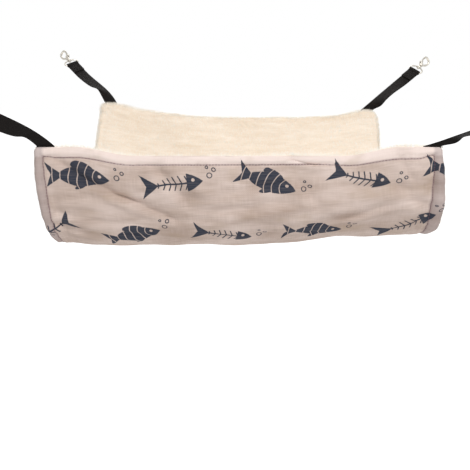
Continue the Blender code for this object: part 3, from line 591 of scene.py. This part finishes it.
def faceHeight(face, edge, tail):
    # A cloth's face over the cloth's middle: bell-shaped swells across the hem, higher over a strap end, rounded to
    # its height at the edge by a quarter circle
    height = face["height"] + face["overTail"] * tail + sum(size * bell(edge - place, width)
                                                            for size, place, width in face["swells"])
    rounding = np.sqrt(1.0 - (1.0 - np.clip(edge / face["rounding"], 0.0, 1.0)) ** 2)
    return face["edge"] + (height - face["edge"]) * rounding


def rimmed(length, steps, rim=0.018, rimSteps=11):
    # Places along a length, close together in the rim at both ends
    ends = rim * np.linspace(0.0, 1.0, rimSteps + 1)
    return np.concatenate([ends, np.linspace(rim, length - rim, steps + 1)[1:-1], (length - ends)[::-1]])


def clothLayers(outerHeight, innerHeight, columns, rows):
    # A closed sheet over the rounded cut: one grid on each face, joined round the rim
    u, v, edge = roundedCut(*np.meshgrid(rimmed(bed["width"], columns), rimmed(clothDepth, rows), indexing="ij"))
    middle, normal, tail = clothPoint(u, v), normalOf(clothPoint, u, v), overTail(u, v)
    points = np.vstack([(middle + normal * height(edge, tail)[..., None]).reshape(-1, 3)
                        for height in (outerHeight, innerHeight)])
    number = np.arange(u.size).reshape(u.shape)
    rim = np.concatenate([number[:-1, 0], number[-1, :-1], number[:0:-1, -1], number[0, :0:-1]])
    onward = np.roll(rim, -1)
    faces = gridFaces(*u.shape)
    faces = np.vstack([faces, faces[:, ::-1] + u.size, stacked(rim, rim + u.size, onward + u.size, onward)])
    return points, facingOut(points, [faces]), np.tile(stacked(u.ravel(), v.ravel()), (2, 1))


def coverHeight(edge, tail):
    # Outer face of the canvas: a puffed hem, a ridge, and a groove at the stitching
    return faceHeight(coverFace, edge, tail)


def liningHeight(edge, tail):
    # Face of the plush, below the cloth's middle: a soft roll at the edge and a valley along the stitching
    return -faceHeight(liningFace, edge, tail)


def coverBack(edge, tail):
    # Hidden face of the canvas, against the plush: flat
    return np.full(edge.shape, -coverFace["back"])


def liningBack(edge, tail):
    # Hidden face of the plush, against the canvas: further in where it lies over a strap end
    return -liningFace["back"] - liningFace["backOverTail"] * tail * ease(edge / liningFace["backRounding"])


points, faces, uvs = clothLayers(coverHeight, coverBack, 184, 206)
cover = makeMesh("canvas_cover", points, faces, canvas, uvs)
points, faces, uvs = clothLayers(liningBack, liningHeight, 150, 140)
lining = makeMesh("plush_sheet", points, faces, plush, uvs)
print("cloth laid:", len(cover.data.polygons) + len(lining.data.polygons), "faces")

tuftLengths, tuftWidths = (0.6, 1.1), (0.7, 1.2)  # each tuft's share of its full size, least and greatest
pile = {"tufts": 42000, "margin": 0.002, "length": 0.0048, "width": 0.00055, "rise": 0.40, "comb": 0.75, "wild": 0.45,
        "strayShare": 0.015, "strayLength": 2.0, "seed": 5}
fringe = {"tufts": 22000, "margin": 0.0005, "length": 0.0046, "width": 0.00040, "depth": 0.0048, "rise": 0.60,
          "reach": 1.15, "wild": 0.4, "band": 0.0045, "spill": 0.6, "spillAt": 0.82, "spillWidth": 0.14, "seed": 6}


def makeTufts(name, u, v, lean, length, width, dice):
    # Tufts of pile: narrow three-sided spikes rooted in the plush.
    # lean is how far each one rises from the plush, and leans to the right and to the back.
    u, v, edge = roundedCut(u, v)
    normal = normalOf(clothPoint, u, v)
    root = clothPoint(u, v) + normal * (liningHeight(edge, overTail(u, v)) + 0.0003)[:, None]
    onward = unitRows(clothPoint(u, v + 0.001) - clothPoint(u, v - 0.001))
    aside = unitRows(clothPoint(u + 0.001, v) - clothPoint(u - 0.001, v))
    way = unitRows(-normal * lean[:, :1] + aside * lean[:, 1:2] + onward * lean[:, 2:])
    first = unitRows(np.cross(way, aside + 0.3 * dice.normal(size=(len(u), 3))))
    base = root[:, None] + width[:, None, None] * 0.5 * spokes(first, np.cross(way, first), 3)
    spikes = np.concatenate([base, (root + way * length[:, None])[:, None]], axis=1).reshape(-1, 3)
    corner = (np.arange(len(u)) * 4)[:, None]
    faces = np.vstack([corner + np.array(face) for face in ((0, 1, 3), (1, 2, 3), (2, 0, 3), (2, 1, 0))])
    piece = makeMesh(name, spikes, facingOut(spikes, [faces]), plushPile, np.repeat(stacked(u, v), 4, axis=0))
    piece.data.shade_flat()
    return piece


def scatter(kind):
    # Random places all over the sheet, up to a margin from its edges
    dice, count, margin = np.random.default_rng(kind["seed"]), kind["tufts"], kind["margin"]
    u, v = (dice.uniform(margin, length - margin, count) for length in (bed["width"], clothDepth))
    return dice, count, u, v


def makePile():
    # The nap of the whole sheet, combed towards the back, with a few long stray hairs
    dice, count, u, v = scatter(pile)
    lean = stacked(np.full(count, pile["rise"]), pile["wild"] * dice.normal(size=count),
                   pile["comb"] + pile["wild"] * dice.normal(size=count))
    stray = dice.random(count) < pile["strayShare"]
    length = pile["length"] * dice.uniform(*tuftLengths, count) * np.where(stray, pile["strayLength"], 1.0)
    width = pile["width"] * dice.uniform(*tuftWidths, count) * np.where(stray, 0.5, 1.0)
    return makeTufts("plush_pile", u, v, lean, length, width, dice)


def makeFringe():
    # The nap that spills over the edges and hides the canvas there, longest beside the front straps
    dice, count, u, v = scatter(fringe)
    depth = 0.0002 + fringe["depth"] * dice.random(count) ** 1.3
    side = dice.integers(0, 4, count)
    u = np.where(side == 0, depth, np.where(side == 1, bed["width"] - depth, u))
    v = np.where(side == 2, depth, np.where(side == 3, clothDepth - depth, v))
    fromSide, fromEnd = fromEdges(u, v)
    outU = np.where(u < bed["width"] / 2.0, -1.0, 1.0) * bell(fromSide, fringe["band"])
    outV = np.where(v < clothDepth / 2.0, -1.0, 1.0) * bell(fromEnd, fringe["band"])
    lean = stacked(np.full(count, fringe["rise"]), fringe["reach"] * outU + fringe["wild"] * dice.normal(size=count),
                   fringe["reach"] * outV + fringe["wild"] * dice.normal(size=count))
    fromMiddle = np.abs(2.0 * u / bed["width"] - 1.0)
    spill = 1.0 + fringe["spill"] * np.where(side == 2, bell(fromMiddle - fringe["spillAt"], fringe["spillWidth"]), 0.0)
    length = fringe["length"] * spill * dice.uniform(*tuftLengths, count)
    return makeTufts("plush_fringe", u, v, lean, length, fringe["width"] * dice.uniform(*tuftWidths, count), dice)


nap = [makePile(), makeFringe()]
print("pile raised")


topStitch = {"pitch": 0.0034, "length": 0.0030, "radius": 0.00040}


def stitchRow(centres, ways, normals, length, radius, sides=6):
    # Short flattened capsules: rings whose radius and height follow a half circle
    share = np.array([-1.0, -0.72, 0.0, 0.72, 1.0])
    swell = np.sqrt(np.maximum(1.0 - share ** 2, 0.03))
    middle = (centres[:, None] + ways[:, None] * (share * length / 2.0)[None, :, None]
              + normals[:, None] * ((swell - 0.8) * radius)[None, :, None])
    around = spokes(0.8 * normals, np.cross(ways, normals), sides)
    points = (middle[:, :, None] + (swell * radius)[None, :, None, None] * around[:, None]).reshape(-1, 3)
    rings, cap = len(share), np.arange(sides)
    start = (np.arange(len(centres)) * rings * sides)[:, None]
    quads = (start[:, :, None] + gridFaces(rings, sides, False, True)[None]).reshape(-1, 4)
    return points, facingOut(points, [quads, np.vstack([start + cap, start + (rings - 1) * sides + cap[::-1]])])


def stitchPlaces(start, end, pitch):
    # Middles of the stitches along a line: one pitch apart, half a pitch from its ends
    count = max(2, int(round(np.linalg.norm(end - start) / pitch)))
    return start + (end - start) * ((np.arange(count) + 0.5) / count)[:, None]


def stitchRoute(inset, pitch):
    # Places round the cut, one pitch apart, moved in to where the stitching runs along the front and the right side
    right, back = bed["width"] - inset, clothDepth - inset
    turns = np.array([(inset, inset), (right, inset), (right, back), (inset, back)])
    places = [stitchPlaces(*ends, pitch) for ends in zip(turns, np.roll(turns, -1, axis=0))]
    places[0][:, 1] = seamInset(places[0][:, 0], places[0][:, 1])[0]
    places[1][:, 0] = bed["width"] - seamInset(places[1][:, 0], places[1][:, 1])[1]
    return np.vstack(places)


u, v = stitchRoute(hem["stitchInset"], topStitch["pitch"]).T
normals = normalOf(clothPoint, u, v)
seat = coverHeight(np.full(len(u), hem["stitchInset"]), overTail(u, v)) + topStitch["radius"] * 0.55
centres = clothPoint(u, v) + normals * seat[:, None]
ways = roundWays(centres)
ways = unitRows(ways - normals * (ways * normals).sum(-1, keepdims=True))
points, faces = stitchRow(centres, ways, normals, topStitch["length"], topStitch["radius"])
dress(makeMesh("top_stitches", points, faces, mauveThread), "bed", "mauve_thread", "edge_topstitching")
print("top-stitching sewn:", len(centres), "stitches")


strap = {"width": strapSeat["width"], "thickness": 0.0012, "tail": strapSeat["tail"], "foldBack": 0.020,
         "start": 0.0010, "layerGap": 0.0003, "easeLength": 0.006, "ribHeight": 0.00009, "rowPitch": 0.00030,
         "sides": 28, "tailDepth": 0.0011, "blend": 0.003}
eyeWire, loopClearance = 0.0011, 0.0004
# How far the strap sets off in the cloth's own direction, how long its width takes to leave the seam, its twist in
# degrees at the waist, the waist's place and spread, and its twist at the loop
corners = {name: dict(zip(("rise", "seam", "waist", "waistAt", "waistSpread", "end"), row)) for name, row in {
    "front_left": (0.30, 0.60, 50.0, 0.08, 0.40, -8.0), "front_right": (0.0, 0.70, 26.0, 0.36, 0.40, 36.0),
    "back_left": (0.43, 0.70, -84.0, 0.08, 0.316, -18.5), "back_right": (0.0, 0.47, -5.0, 0.60, 0.275, -30.0),
}.items()}


def cornerFrame(name):
    # Where a strap leaves the cloth and the directions of its end, from the joints of its corner
    back, side = name.startswith("back"), -1 if name.endswith("left") else 1
    across, along, pinWay = (unitRows(joints[name + joint]["axis"])
                             for joint in ("_eye_swing", "_hook_swivel", "_gate_open"))
    half, v, inward = (bed["backWidth"] / 2.0, clothDepth, -1.0) if back else (bed["width"] / 2.0, 0.0, 1.0)
    shares = (half - strapSeat["back" if back else "front"] - np.array([0.0, strap["width"]])) / half * side
    u = (shares + 1.0) / 2.0 * bed["width"]
    normal = normalOf(flatSurface, u, np.full(2, v + 0.0009 * inward))  # just inside the edge
    outer, inner = flatSurface(u, np.full(2, v)) - normal * (strap["layerGap"] + strap["thickness"] / 2.0)
    onward = flatSurface(u[1], np.array(v)) - flatSurface(u[1], np.array(v + 0.003 * inward))
    return dict(back=back, side=side, bar=np.array(joints[name + "_eye_swing"]["pos_m"]), across=across, along=along,
                through=np.cross(across, along), outer=outer, inner=inner, onward=unitRows(onward * (0.0, 1.0, 1.0)),
                hookThrough=-pinWay, hookAcross=np.cross(along, -pinWay), u=u,
                axisPoint=np.array(joints[name + "_strap_fold"]["pos_m"]))


def foldProfile(fold, steps=20):
    # The folded end in the plane of along and through: forward leg, half circle round the eye's bar, leg back
    halfStack = (strap["thickness"] + strap["layerGap"]) / 2.0
    loop = eyeWire + loopClearance + strap["thickness"] / 2.0
    share = np.linspace(0.0, 1.0, steps)
    places = strap["easeLength"] * (share - 1.0)
    offsets = halfStack + (loop - halfStack) * ease(share)
    turn = np.radians(np.linspace(-90.0, 90.0, 2 * steps)[1:-1])
    leg = np.linspace(-strap["easeLength"], -strap["foldBack"], steps)[1:]
    profile = np.vstack([stacked(places, -offsets), loop * stacked(np.cos(turn), np.sin(turn)),
                         stacked(places[::-1], offsets[::-1]), stacked(leg, np.full(len(leg), halfStack))])
    return profile * (1.0, fold), np.array([-strap["foldBack"] - strap["easeLength"], -halfStack * fold])


def strapRows(name, f, steps=90):
    # Taut edge and width direction, row by row. The tail follows the cloth; the free strap's edge is one Bezier from
    # the seam to its folded end, and its width leaves the seam flat, is twisted at the waist and ends as the loop lies.
    corner = corners[name]
    profile, straight = foldProfile(f["side"])
    plane = np.vstack([f["along"], f["through"]])
    edgeOfBar = f["bar"] - f["across"] * strap["width"] / 2.0
    start, end = f["inner"] + f["onward"] * strap["start"], edgeOfBar + straight @ plane
    handle = np.linalg.norm(end - start) / 3.0
    first = start + unitRows(f["onward"] * corner["rise"] + f["along"] * (1.0 - corner["rise"])) * handle
    second = end - f["along"] * handle
    share = np.linspace(0.0, 1.0, steps)
    t = share[:, None]
    edge = (1.0 - t) ** 3 * start + 3.0 * (1.0 - t) ** 2 * t * first + 3.0 * (1.0 - t) * t ** 2 * second + t ** 3 * end
    tangent = unitRows(np.gradient(edge, axis=0))
    seam = unitRows(f["outer"] - f["inner"])
    flat = unitRows(seam - tangent * (tangent @ seam)[:, None])
    turn = corner["waist"] * bell(share - corner["waistAt"], corner["waistSpread"]) * ease((1.0 - share) / 0.4)
    turn = np.radians(turn + corner["end"] * ease(share / 0.30)) * f["side"]
    width = seam + (turned(flat, tangent, turn) - seam) * ease(share / corner["seam"])[:, None]
    loop = edgeOfBar + profile @ plane
    tailStep = np.linspace(strap["tail"], 0.0, 24)[:-1]
    v = clothDepth - tailStep if f["back"] else tailStep
    outside, inside = (clothPoint(u, v) - normalOf(clothPoint, u, v) * strap["tailDepth"]
                       for u in (np.full(len(v), place) for place in f["u"]))
    edges = np.vstack([inside, edge, loop[1:]])
    return edges, unitRows(np.vstack([outside - inside, width, np.tile(f["across"], (len(loop) - 1, 1))]))


def makeStrap(name, f):
    # Webbing: a flat bar with rounded selvedges carried along the rows, its thickness waved by the ribs
    edges, widths = strapRows(name, f)
    lengths = runLengths(edges + widths * strap["width"] / 2.0)
    place = np.linspace(0.0, lengths[-1], int(lengths[-1] / strap["rowPitch"]))
    edge, width = (stacked(*(np.interp(place, lengths, rows[:, axis]) for axis in range(3)))
                   for rows in (edges, widths))
    width = unitRows(width)
    tangent = unitRows(np.gradient(edge + width * strap["width"] / 2.0, axis=0))
    thick = unitRows(np.cross(width, tangent))
    # the powers flatten a circle into the webbing's cross-section
    angle = 2.0 * math.pi * np.arange(strap["sides"]) / strap["sides"]
    across = np.sign(np.cos(angle)) * (1.0 - (1.0 - np.abs(np.cos(angle))) ** 1.15)
    across = (across + 1.0) / 2.0 * strap["width"]
    height = np.sign(np.sin(angle)) * np.abs(np.sin(angle)) ** 0.35
    half = strap["thickness"] / 2.0 - strap["ribHeight"] * (0.5 - 0.5 * np.cos(2.0 * math.pi * place / ribPitch))
    points = (edge[:, None] + width[:, None] * across[None, :, None]
              + thick[:, None] * (height[None, :] * half[:, None])[..., None]).reshape(-1, 3)
    uvs = stacked(np.tile(across, len(place)), np.repeat(place, strap["sides"]))
    piece = makeMesh(name + "_webbing", points, tubeFaces(points, len(place), strap["sides"]), webbing, uvs)
    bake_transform(piece)
    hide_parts(name + "_strap", name + "_strap_tail")
    return piece


boxStitch = {"pitch": 0.0022, "length": 0.0019, "radius": 0.00026, "halfWidth": 0.0068, "near": -0.0108, "far": -0.0180}


def makeBoxStitch(name, f):
    # A sewn box with a cross in it, on both faces of the fold-back
    low, high, half = boxStitch["far"], boxStitch["near"], boxStitch["halfWidth"]
    turns = np.array([(-half, low), (half, low), (half, high), (-half, high)])
    lines = turns[[(0, 1), (1, 2), (2, 3), (3, 0), (0, 2), (3, 1)]]
    lift = strap["thickness"] + strap["layerGap"] / 2.0 + boxStitch["radius"] * 0.35
    plane = np.vstack([f["across"], f["along"]])
    solids = []
    for face in (1.0, -1.0):
        outward = face * f["through"]
        for start, end in lines:
            centres = f["bar"] + stitchPlaces(start, end, boxStitch["pitch"]) @ plane + lift * outward
            way = unitRows((end - start) @ plane)[None]
            solids.append(stitchRow(centres, way, outward[None], boxStitch["length"], boxStitch["radius"]))
    piece = makeMesh(name + "_box_stitches", *joined(solids), blackThread)
    dress(piece, name + "_strap", "black_thread", name + "_strap_stitching")


eye = {"wire": eyeWire, "half": 0.0119, "shoulder": 0.003, "arch": 0.009, "cornerRadius": 0.002,
       "collarRadius": 0.0032, "collarLow": 0.0082, "collarHigh": 0.0117, "bore": 0.0019, "bevel": 0.0005}
hook = {"post": 0.0015, "head": 0.0026, "headLow": 0.0064, "headHigh": 0.0078, "baseLow": 0.0121, "baseHigh": 0.0157,
        "baseRadius": 0.0034, "bevel": 0.0007, "claw": 0.0017, "reach": 0.0060, "turn": 0.0040, "top": 0.0300,
        "tip": 0.0252, "cheekIn": 0.0015, "cheekOut": 0.0027, "cheekRadius": 0.0021, "pinSide": 0.0046,
        "pinHigh": 0.0178}
gate = {"half": 0.0012, "width": 0.0022, "foot": 0.0017, "tipGap": 0.0004, "bevel": 0.0003, "pin": 0.0007,
        "pinProud": 0.00015}
axisGap = 0.00002  # the radius at which a turned shape closes on its own axis


def arcLine(centre, radius, start, end, steps):
    # Points on a circle from one angle to another
    angle = np.radians(np.linspace(start, end, steps + 1))
    return np.array(centre) + radius * stacked(np.cos(angle), np.sin(angle))


def planeTube(path, radii, sides=16, closed=False):
    # A round tube whose centre line lies in the local XY plane: rings spanned by Z and by tangent x Z
    centres = np.column_stack([path, np.zeros(len(path))])
    tangents = roundWays(centres) if closed else unitRows(np.gradient(centres, axis=0))
    aside = unitRows(np.cross(tangents, (0.0, 0.0, 1.0)))
    rings = np.broadcast_to(radii, len(path))[:, None, None] * spokes(np.cross(aside, tangents), aside, sides)
    points = (centres[:, None] + rings).reshape(-1, 3)
    return points, tubeFaces(points, len(path), sides, closed)


def turnedShell(profile, sides=40):
    # A profile of radius and height turned about local Y; a ring of almost no radius closes each end
    profile = np.asarray(profile, dtype=float)
    angle = 2.0 * math.pi * np.arange(sides) / sides
    points = stacked(profile[:, :1] * np.cos(angle), np.broadcast_to(profile[:, 1:], (len(profile), sides)),
                     profile[:, :1] * np.sin(angle)).reshape(-1, 3)
    return points, tubeFaces(points, len(profile), sides, True)


def plate(outline, low, high, bevel=0.00022, steps=3):
    # An outline extruded along local Z, its rims rounded: rings shrink by a quarter circle towards both faces
    tangent = roundWays(outline)
    turn = np.sign((outline[:, 0] * np.roll(outline[:, 1], -1) - np.roll(outline[:, 0], -1) * outline[:, 1]).sum())
    inward = stacked(-tangent[:, 1], tangent[:, 0]) * turn
    angle = np.linspace(0.0, math.pi / 2.0, steps + 1)
    shrink, rise = bevel * (1.0 - np.cos(angle)), bevel * np.sin(angle)
    shrink = np.concatenate([shrink[::-1], shrink])
    heights = np.concatenate([low + bevel - rise[::-1], high - bevel + rise])
    points = np.vstack([np.column_stack([outline + inward * s, np.full(len(outline), h)])
                        for s, h in zip(shrink, heights)])
    return points, tubeFaces(points, len(heights), len(outline))


def bevelled(radius, low, high, c, between=()):
    # Outer profile of a turned collar: up its side from one rounded rim to the other
    return [(radius - c, low), (radius - c * 0.3, low + c * 0.3), (radius, low + c), *between,
            (radius, high - c), (radius - c * 0.3, high - c * 0.3), (radius - c, high)]


def eyeShells():
    # The eye: a bent wire, flat below and arched above, through a bored collar
    half, r, shoulder = eye["half"], eye["cornerRadius"], eye["shoulder"]
    arch = np.radians(np.linspace(0.0, 180.0, 41))
    path = np.vstack([arcLine((half - r, r), r, -90.0, 0.0, 8),
                      stacked(half * np.cos(arch), shoulder + (eye["arch"] - shoulder) * np.sin(arch)),
                      arcLine((-half + r, r), r, 180.0, 270.0, 8),
                      np.column_stack([np.linspace(-half + r, half - r, 10)[1:-1], np.zeros(8)])])
    low, high, bore, c = eye["collarLow"], eye["collarHigh"], eye["bore"], eye["bevel"]
    ring = [(bore, low + c), (bore + c * 0.6, low), *bevelled(eye["collarRadius"], low, high, c),
            (bore + c * 0.6, high), (bore, high - c)]
    return joined([planeTube(path, eye["wire"], closed=True), turnedShell(ring)])


def hookShells():
    # The hook's body: a turned post, head and grooved base, a claw that rises, turns over and tapers, and two cheeks
    r, reach, top, turn = hook["claw"], hook["reach"], hook["top"] - hook["turn"], hook["turn"]
    base, low, high, c = hook["baseRadius"], hook["baseLow"], hook["baseHigh"], hook["bevel"]
    foot, tipRings = high - 0.001, 6
    spine = smoothLine([(0.0, foot - 0.001), (reach * 0.30, foot + r), (reach * 0.80, foot + r * 3.0),
                        (reach, foot + r * 5.0), (reach, top)], 8)
    claw = np.vstack([spine[:-1], arcLine((reach - turn, top), turn, 0.0, 90.0, 10),
                      arcLine((turn - reach, top), turn, 90.0, 180.0, 10),
                      np.column_stack([np.full(tipRings, -reach), np.linspace(top - 0.0001, hook["tip"], tipRings)])])
    radii = np.full(len(claw), r)
    radii[-tipRings:] = r * np.sqrt(1.0 - np.linspace(0.0, 0.93, tipRings) ** 2)  # a round tip, cut off just short
    groove = [(base, low + 0.0014), (base - 0.0003, low + 0.0017), (base, low + 0.0020)]
    body = [(axisGap, hook["headLow"]), (hook["head"] * 0.8, hook["headLow"]), (hook["head"], hook["headLow"] + 0.0004),
            (hook["head"], hook["headHigh"]), (hook["post"], hook["headHigh"]), (hook["post"], low),
            *bevelled(base, low, high, c, groove), (axisGap, high)]
    block = np.vstack([[(-base + 0.0008, (low + high) / 2.0), (0.0, (low + high) / 2.0), (0.0, pin[1])],
                       arcLine(pin, hook["cheekRadius"], 0.0, 180.0, 18)])
    return joined([turnedShell(body), planeTube(claw, radii), plate(block, hook["cheekIn"], hook["cheekOut"]),
                   plate(block, -hook["cheekOut"], -hook["cheekIn"])])


def gateShell():
    # The gate: a flat bar from a round foot on the pin to just short of the claw's tip
    tip = np.array([-hook["reach"], hook["tip"]]) - pin
    length = np.linalg.norm(tip) - gate["tipGap"]
    lean = math.degrees(math.atan2(tip[1], tip[0]))
    spread = math.degrees(gate["width"] / 2.0 / length)
    footAngle = math.degrees(math.asin(gate["width"] / 2.0 / gate["foot"]))
    outline = np.vstack([arcLine(pin, length, lean - spread, lean + spread, 6),
                         arcLine(pin, gate["foot"], lean + footAngle, lean + 360.0 - footAngle, 26)])
    return plate(outline, -gate["half"], gate["half"], gate["bevel"])


def rivetShell():
    # The gate's pin: a turned rivet laid along local Z, its ends a little proud of the cheeks
    r, out, c = gate["pin"], hook["cheekOut"] + gate["pinProud"], gate["pinProud"]
    rivet = [(axisGap, -out), (r * 0.8, -out), (r, c - out), (r, out - c), (r * 0.8, out), (axisGap, out)]
    points, groups = turnedShell(rivet, 24)
    return points[:, [0, 2, 1]] + (*pin, 0.0), [group[:, ::-1] for group in groups]


pin = np.array([-hook["pinSide"], hook["pinHigh"]])
# piece, its shells, its finish, and the body, node and slot that it belongs to
fittings = (("_eye", eyeShells(), nickel, "_eye", "_hook_eye", "nickel_plated_zinc"),
            ("_hook", hookShells(), nickel, "_hook", "_hook_body", "nickel_plated_zinc"),
            ("_gate", gateShell(), nickel, "_gate", "_hook_gate", "nickel_plated_zinc"),
            ("_gate_rivet", rivetShell(), pinSteel, "_hook", "_gate_pin", "steel_pin"))
for cornerName in corners:
    f = cornerFrame(cornerName)
    makeStrap(cornerName, f)
    makeBoxStitch(cornerName, f)
    for part, (points, groups), material, body, node, slot in fittings:
        aside, through = ("across", "through") if part == "_eye" else ("hookAcross", "hookThrough")
        placed = f["bar"] + points @ np.vstack([f[aside], f["along"], f[through]])
        dress(makeMesh(cornerName + part, placed, groups, material), cornerName + body, slot, cornerName + node)
    print("strap and hook made:", cornerName)

dress(cover, "bed", "printed_canvas", "outer_cover")
dress(lining, "bed", "cream_plush", "plush_lining")
for tufts in nap:
    dress(tufts, "bed", "cream_plush")


studio = {"floorHeight": -1.1, "floorSize": 7.0, "paper": "#e4e4e4", "glow": 0.72, "skyLight": 0.52,
          "cameraPlace": (-0.0044, -0.5146, 0.1160), "pitch": 23.3,
          # place, aim, size and watts of each soft box
          "boxes": (((0.2, -1.0, 1.4), (0.0, 0.0, -0.12), 0.5, 14.5), ((1.2, -1.2, 0.2), (0.0, 0.0, -0.12), 0.9, 3.0),
                    ((0.0, 1.1, 1.2), (0.0, 0.0, -0.1), 1.1, 11.0), ((-0.2, -1.2, -0.8), (0.0, 0.0, -0.15), 1.0, 4.2))}


def seenShare(tree, gain, base):
    # Light Path's camera, glossy and transmission rays: base, and gain more where any of them meets the surface
    rays = addNode(tree, "LightPath").outputs
    s = {"camera": rays["Is Camera Ray"], "gloss": rays["Is Glossy Ray"], "glass": rays["Is Transmission Ray"]}
    return valueOf(tree, s, ("*+", ("MAXIMUM", *s), gain, base))


def softWhite():
    # Pale paper: where the camera, a reflection or glass sees it, a glow lifts it to white and its shadow stays
    material, tree = newMaterial("pale studio paper", {
        "Base Color": linearColour(studio["paper"]), "Roughness": 1.0, "Specular IOR Level": 0.0,
        "Emission Color": (1.0, 1.0, 1.0, 1.0)})
    shader = tree.nodes["Principled BSDF"]
    tree.links.new(seenShare(tree, studio["glow"], 0.0), shader.inputs["Emission Strength"])
    return material


def whiteSky():
    # The world: white where it is seen, softer where it lights
    world = bpy.data.worlds.new("studio")
    bpy.context.scene.world = world
    world.use_nodes = True
    background = world.node_tree.nodes["Background"]
    background.inputs["Color"].default_value = (1.0, 1.0, 1.0, 1.0)
    world.node_tree.links.new(seenShare(world.node_tree, 1.0 - studio["skyLight"], studio["skyLight"]),
                              background.inputs["Strength"])


floorPoints = np.array([(-1.0, -1.0, 0.0), (1.0, -1.0, 0.0), (1.0, 1.0, 0.0), (-1.0, 1.0, 0.0)]) * studio["floorSize"]
floorPoints[:, 2] = studio["floorHeight"]
floor = makeMesh("studio_floor", floorPoints, [np.array([[0, 1, 2, 3]])], softWhite())
whiteSky()
for number, (place, aim, size, watts) in enumerate(studio["boxes"]):
    light = bpy.data.lights.new("soft box %d" % number, "AREA")
    light.shape, light.size, light.energy = "DISK", size, watts
    lamp = bpy.data.objects.new(light.name, light)
    lamp.location = place
    lamp.rotation_euler = (Vector(aim) - Vector(place)).to_track_quat("-Z", "Y").to_euler()
    bpy.context.scene.collection.objects.link(lamp)

camera = bpy.data.objects.new("camera", bpy.data.cameras.new("camera"))
camera.data.sensor_width = 36.0
camera.data.lens = 36.0  # a square frame as wide as it is far: 470 pixels per unit of slope
camera.location = Vector(np.array(studio["cameraPlace"]) - hangCentre)
camera.rotation_euler = (math.radians(90.0 - studio["pitch"]), 0.0, 0.0)
camera.data.clip_start, camera.data.clip_end = 0.01, 50.0
bpy.context.scene.collection.objects.link(camera)
bpy.context.scene.camera = camera
bpy.context.scene.view_settings.view_transform = "Standard"
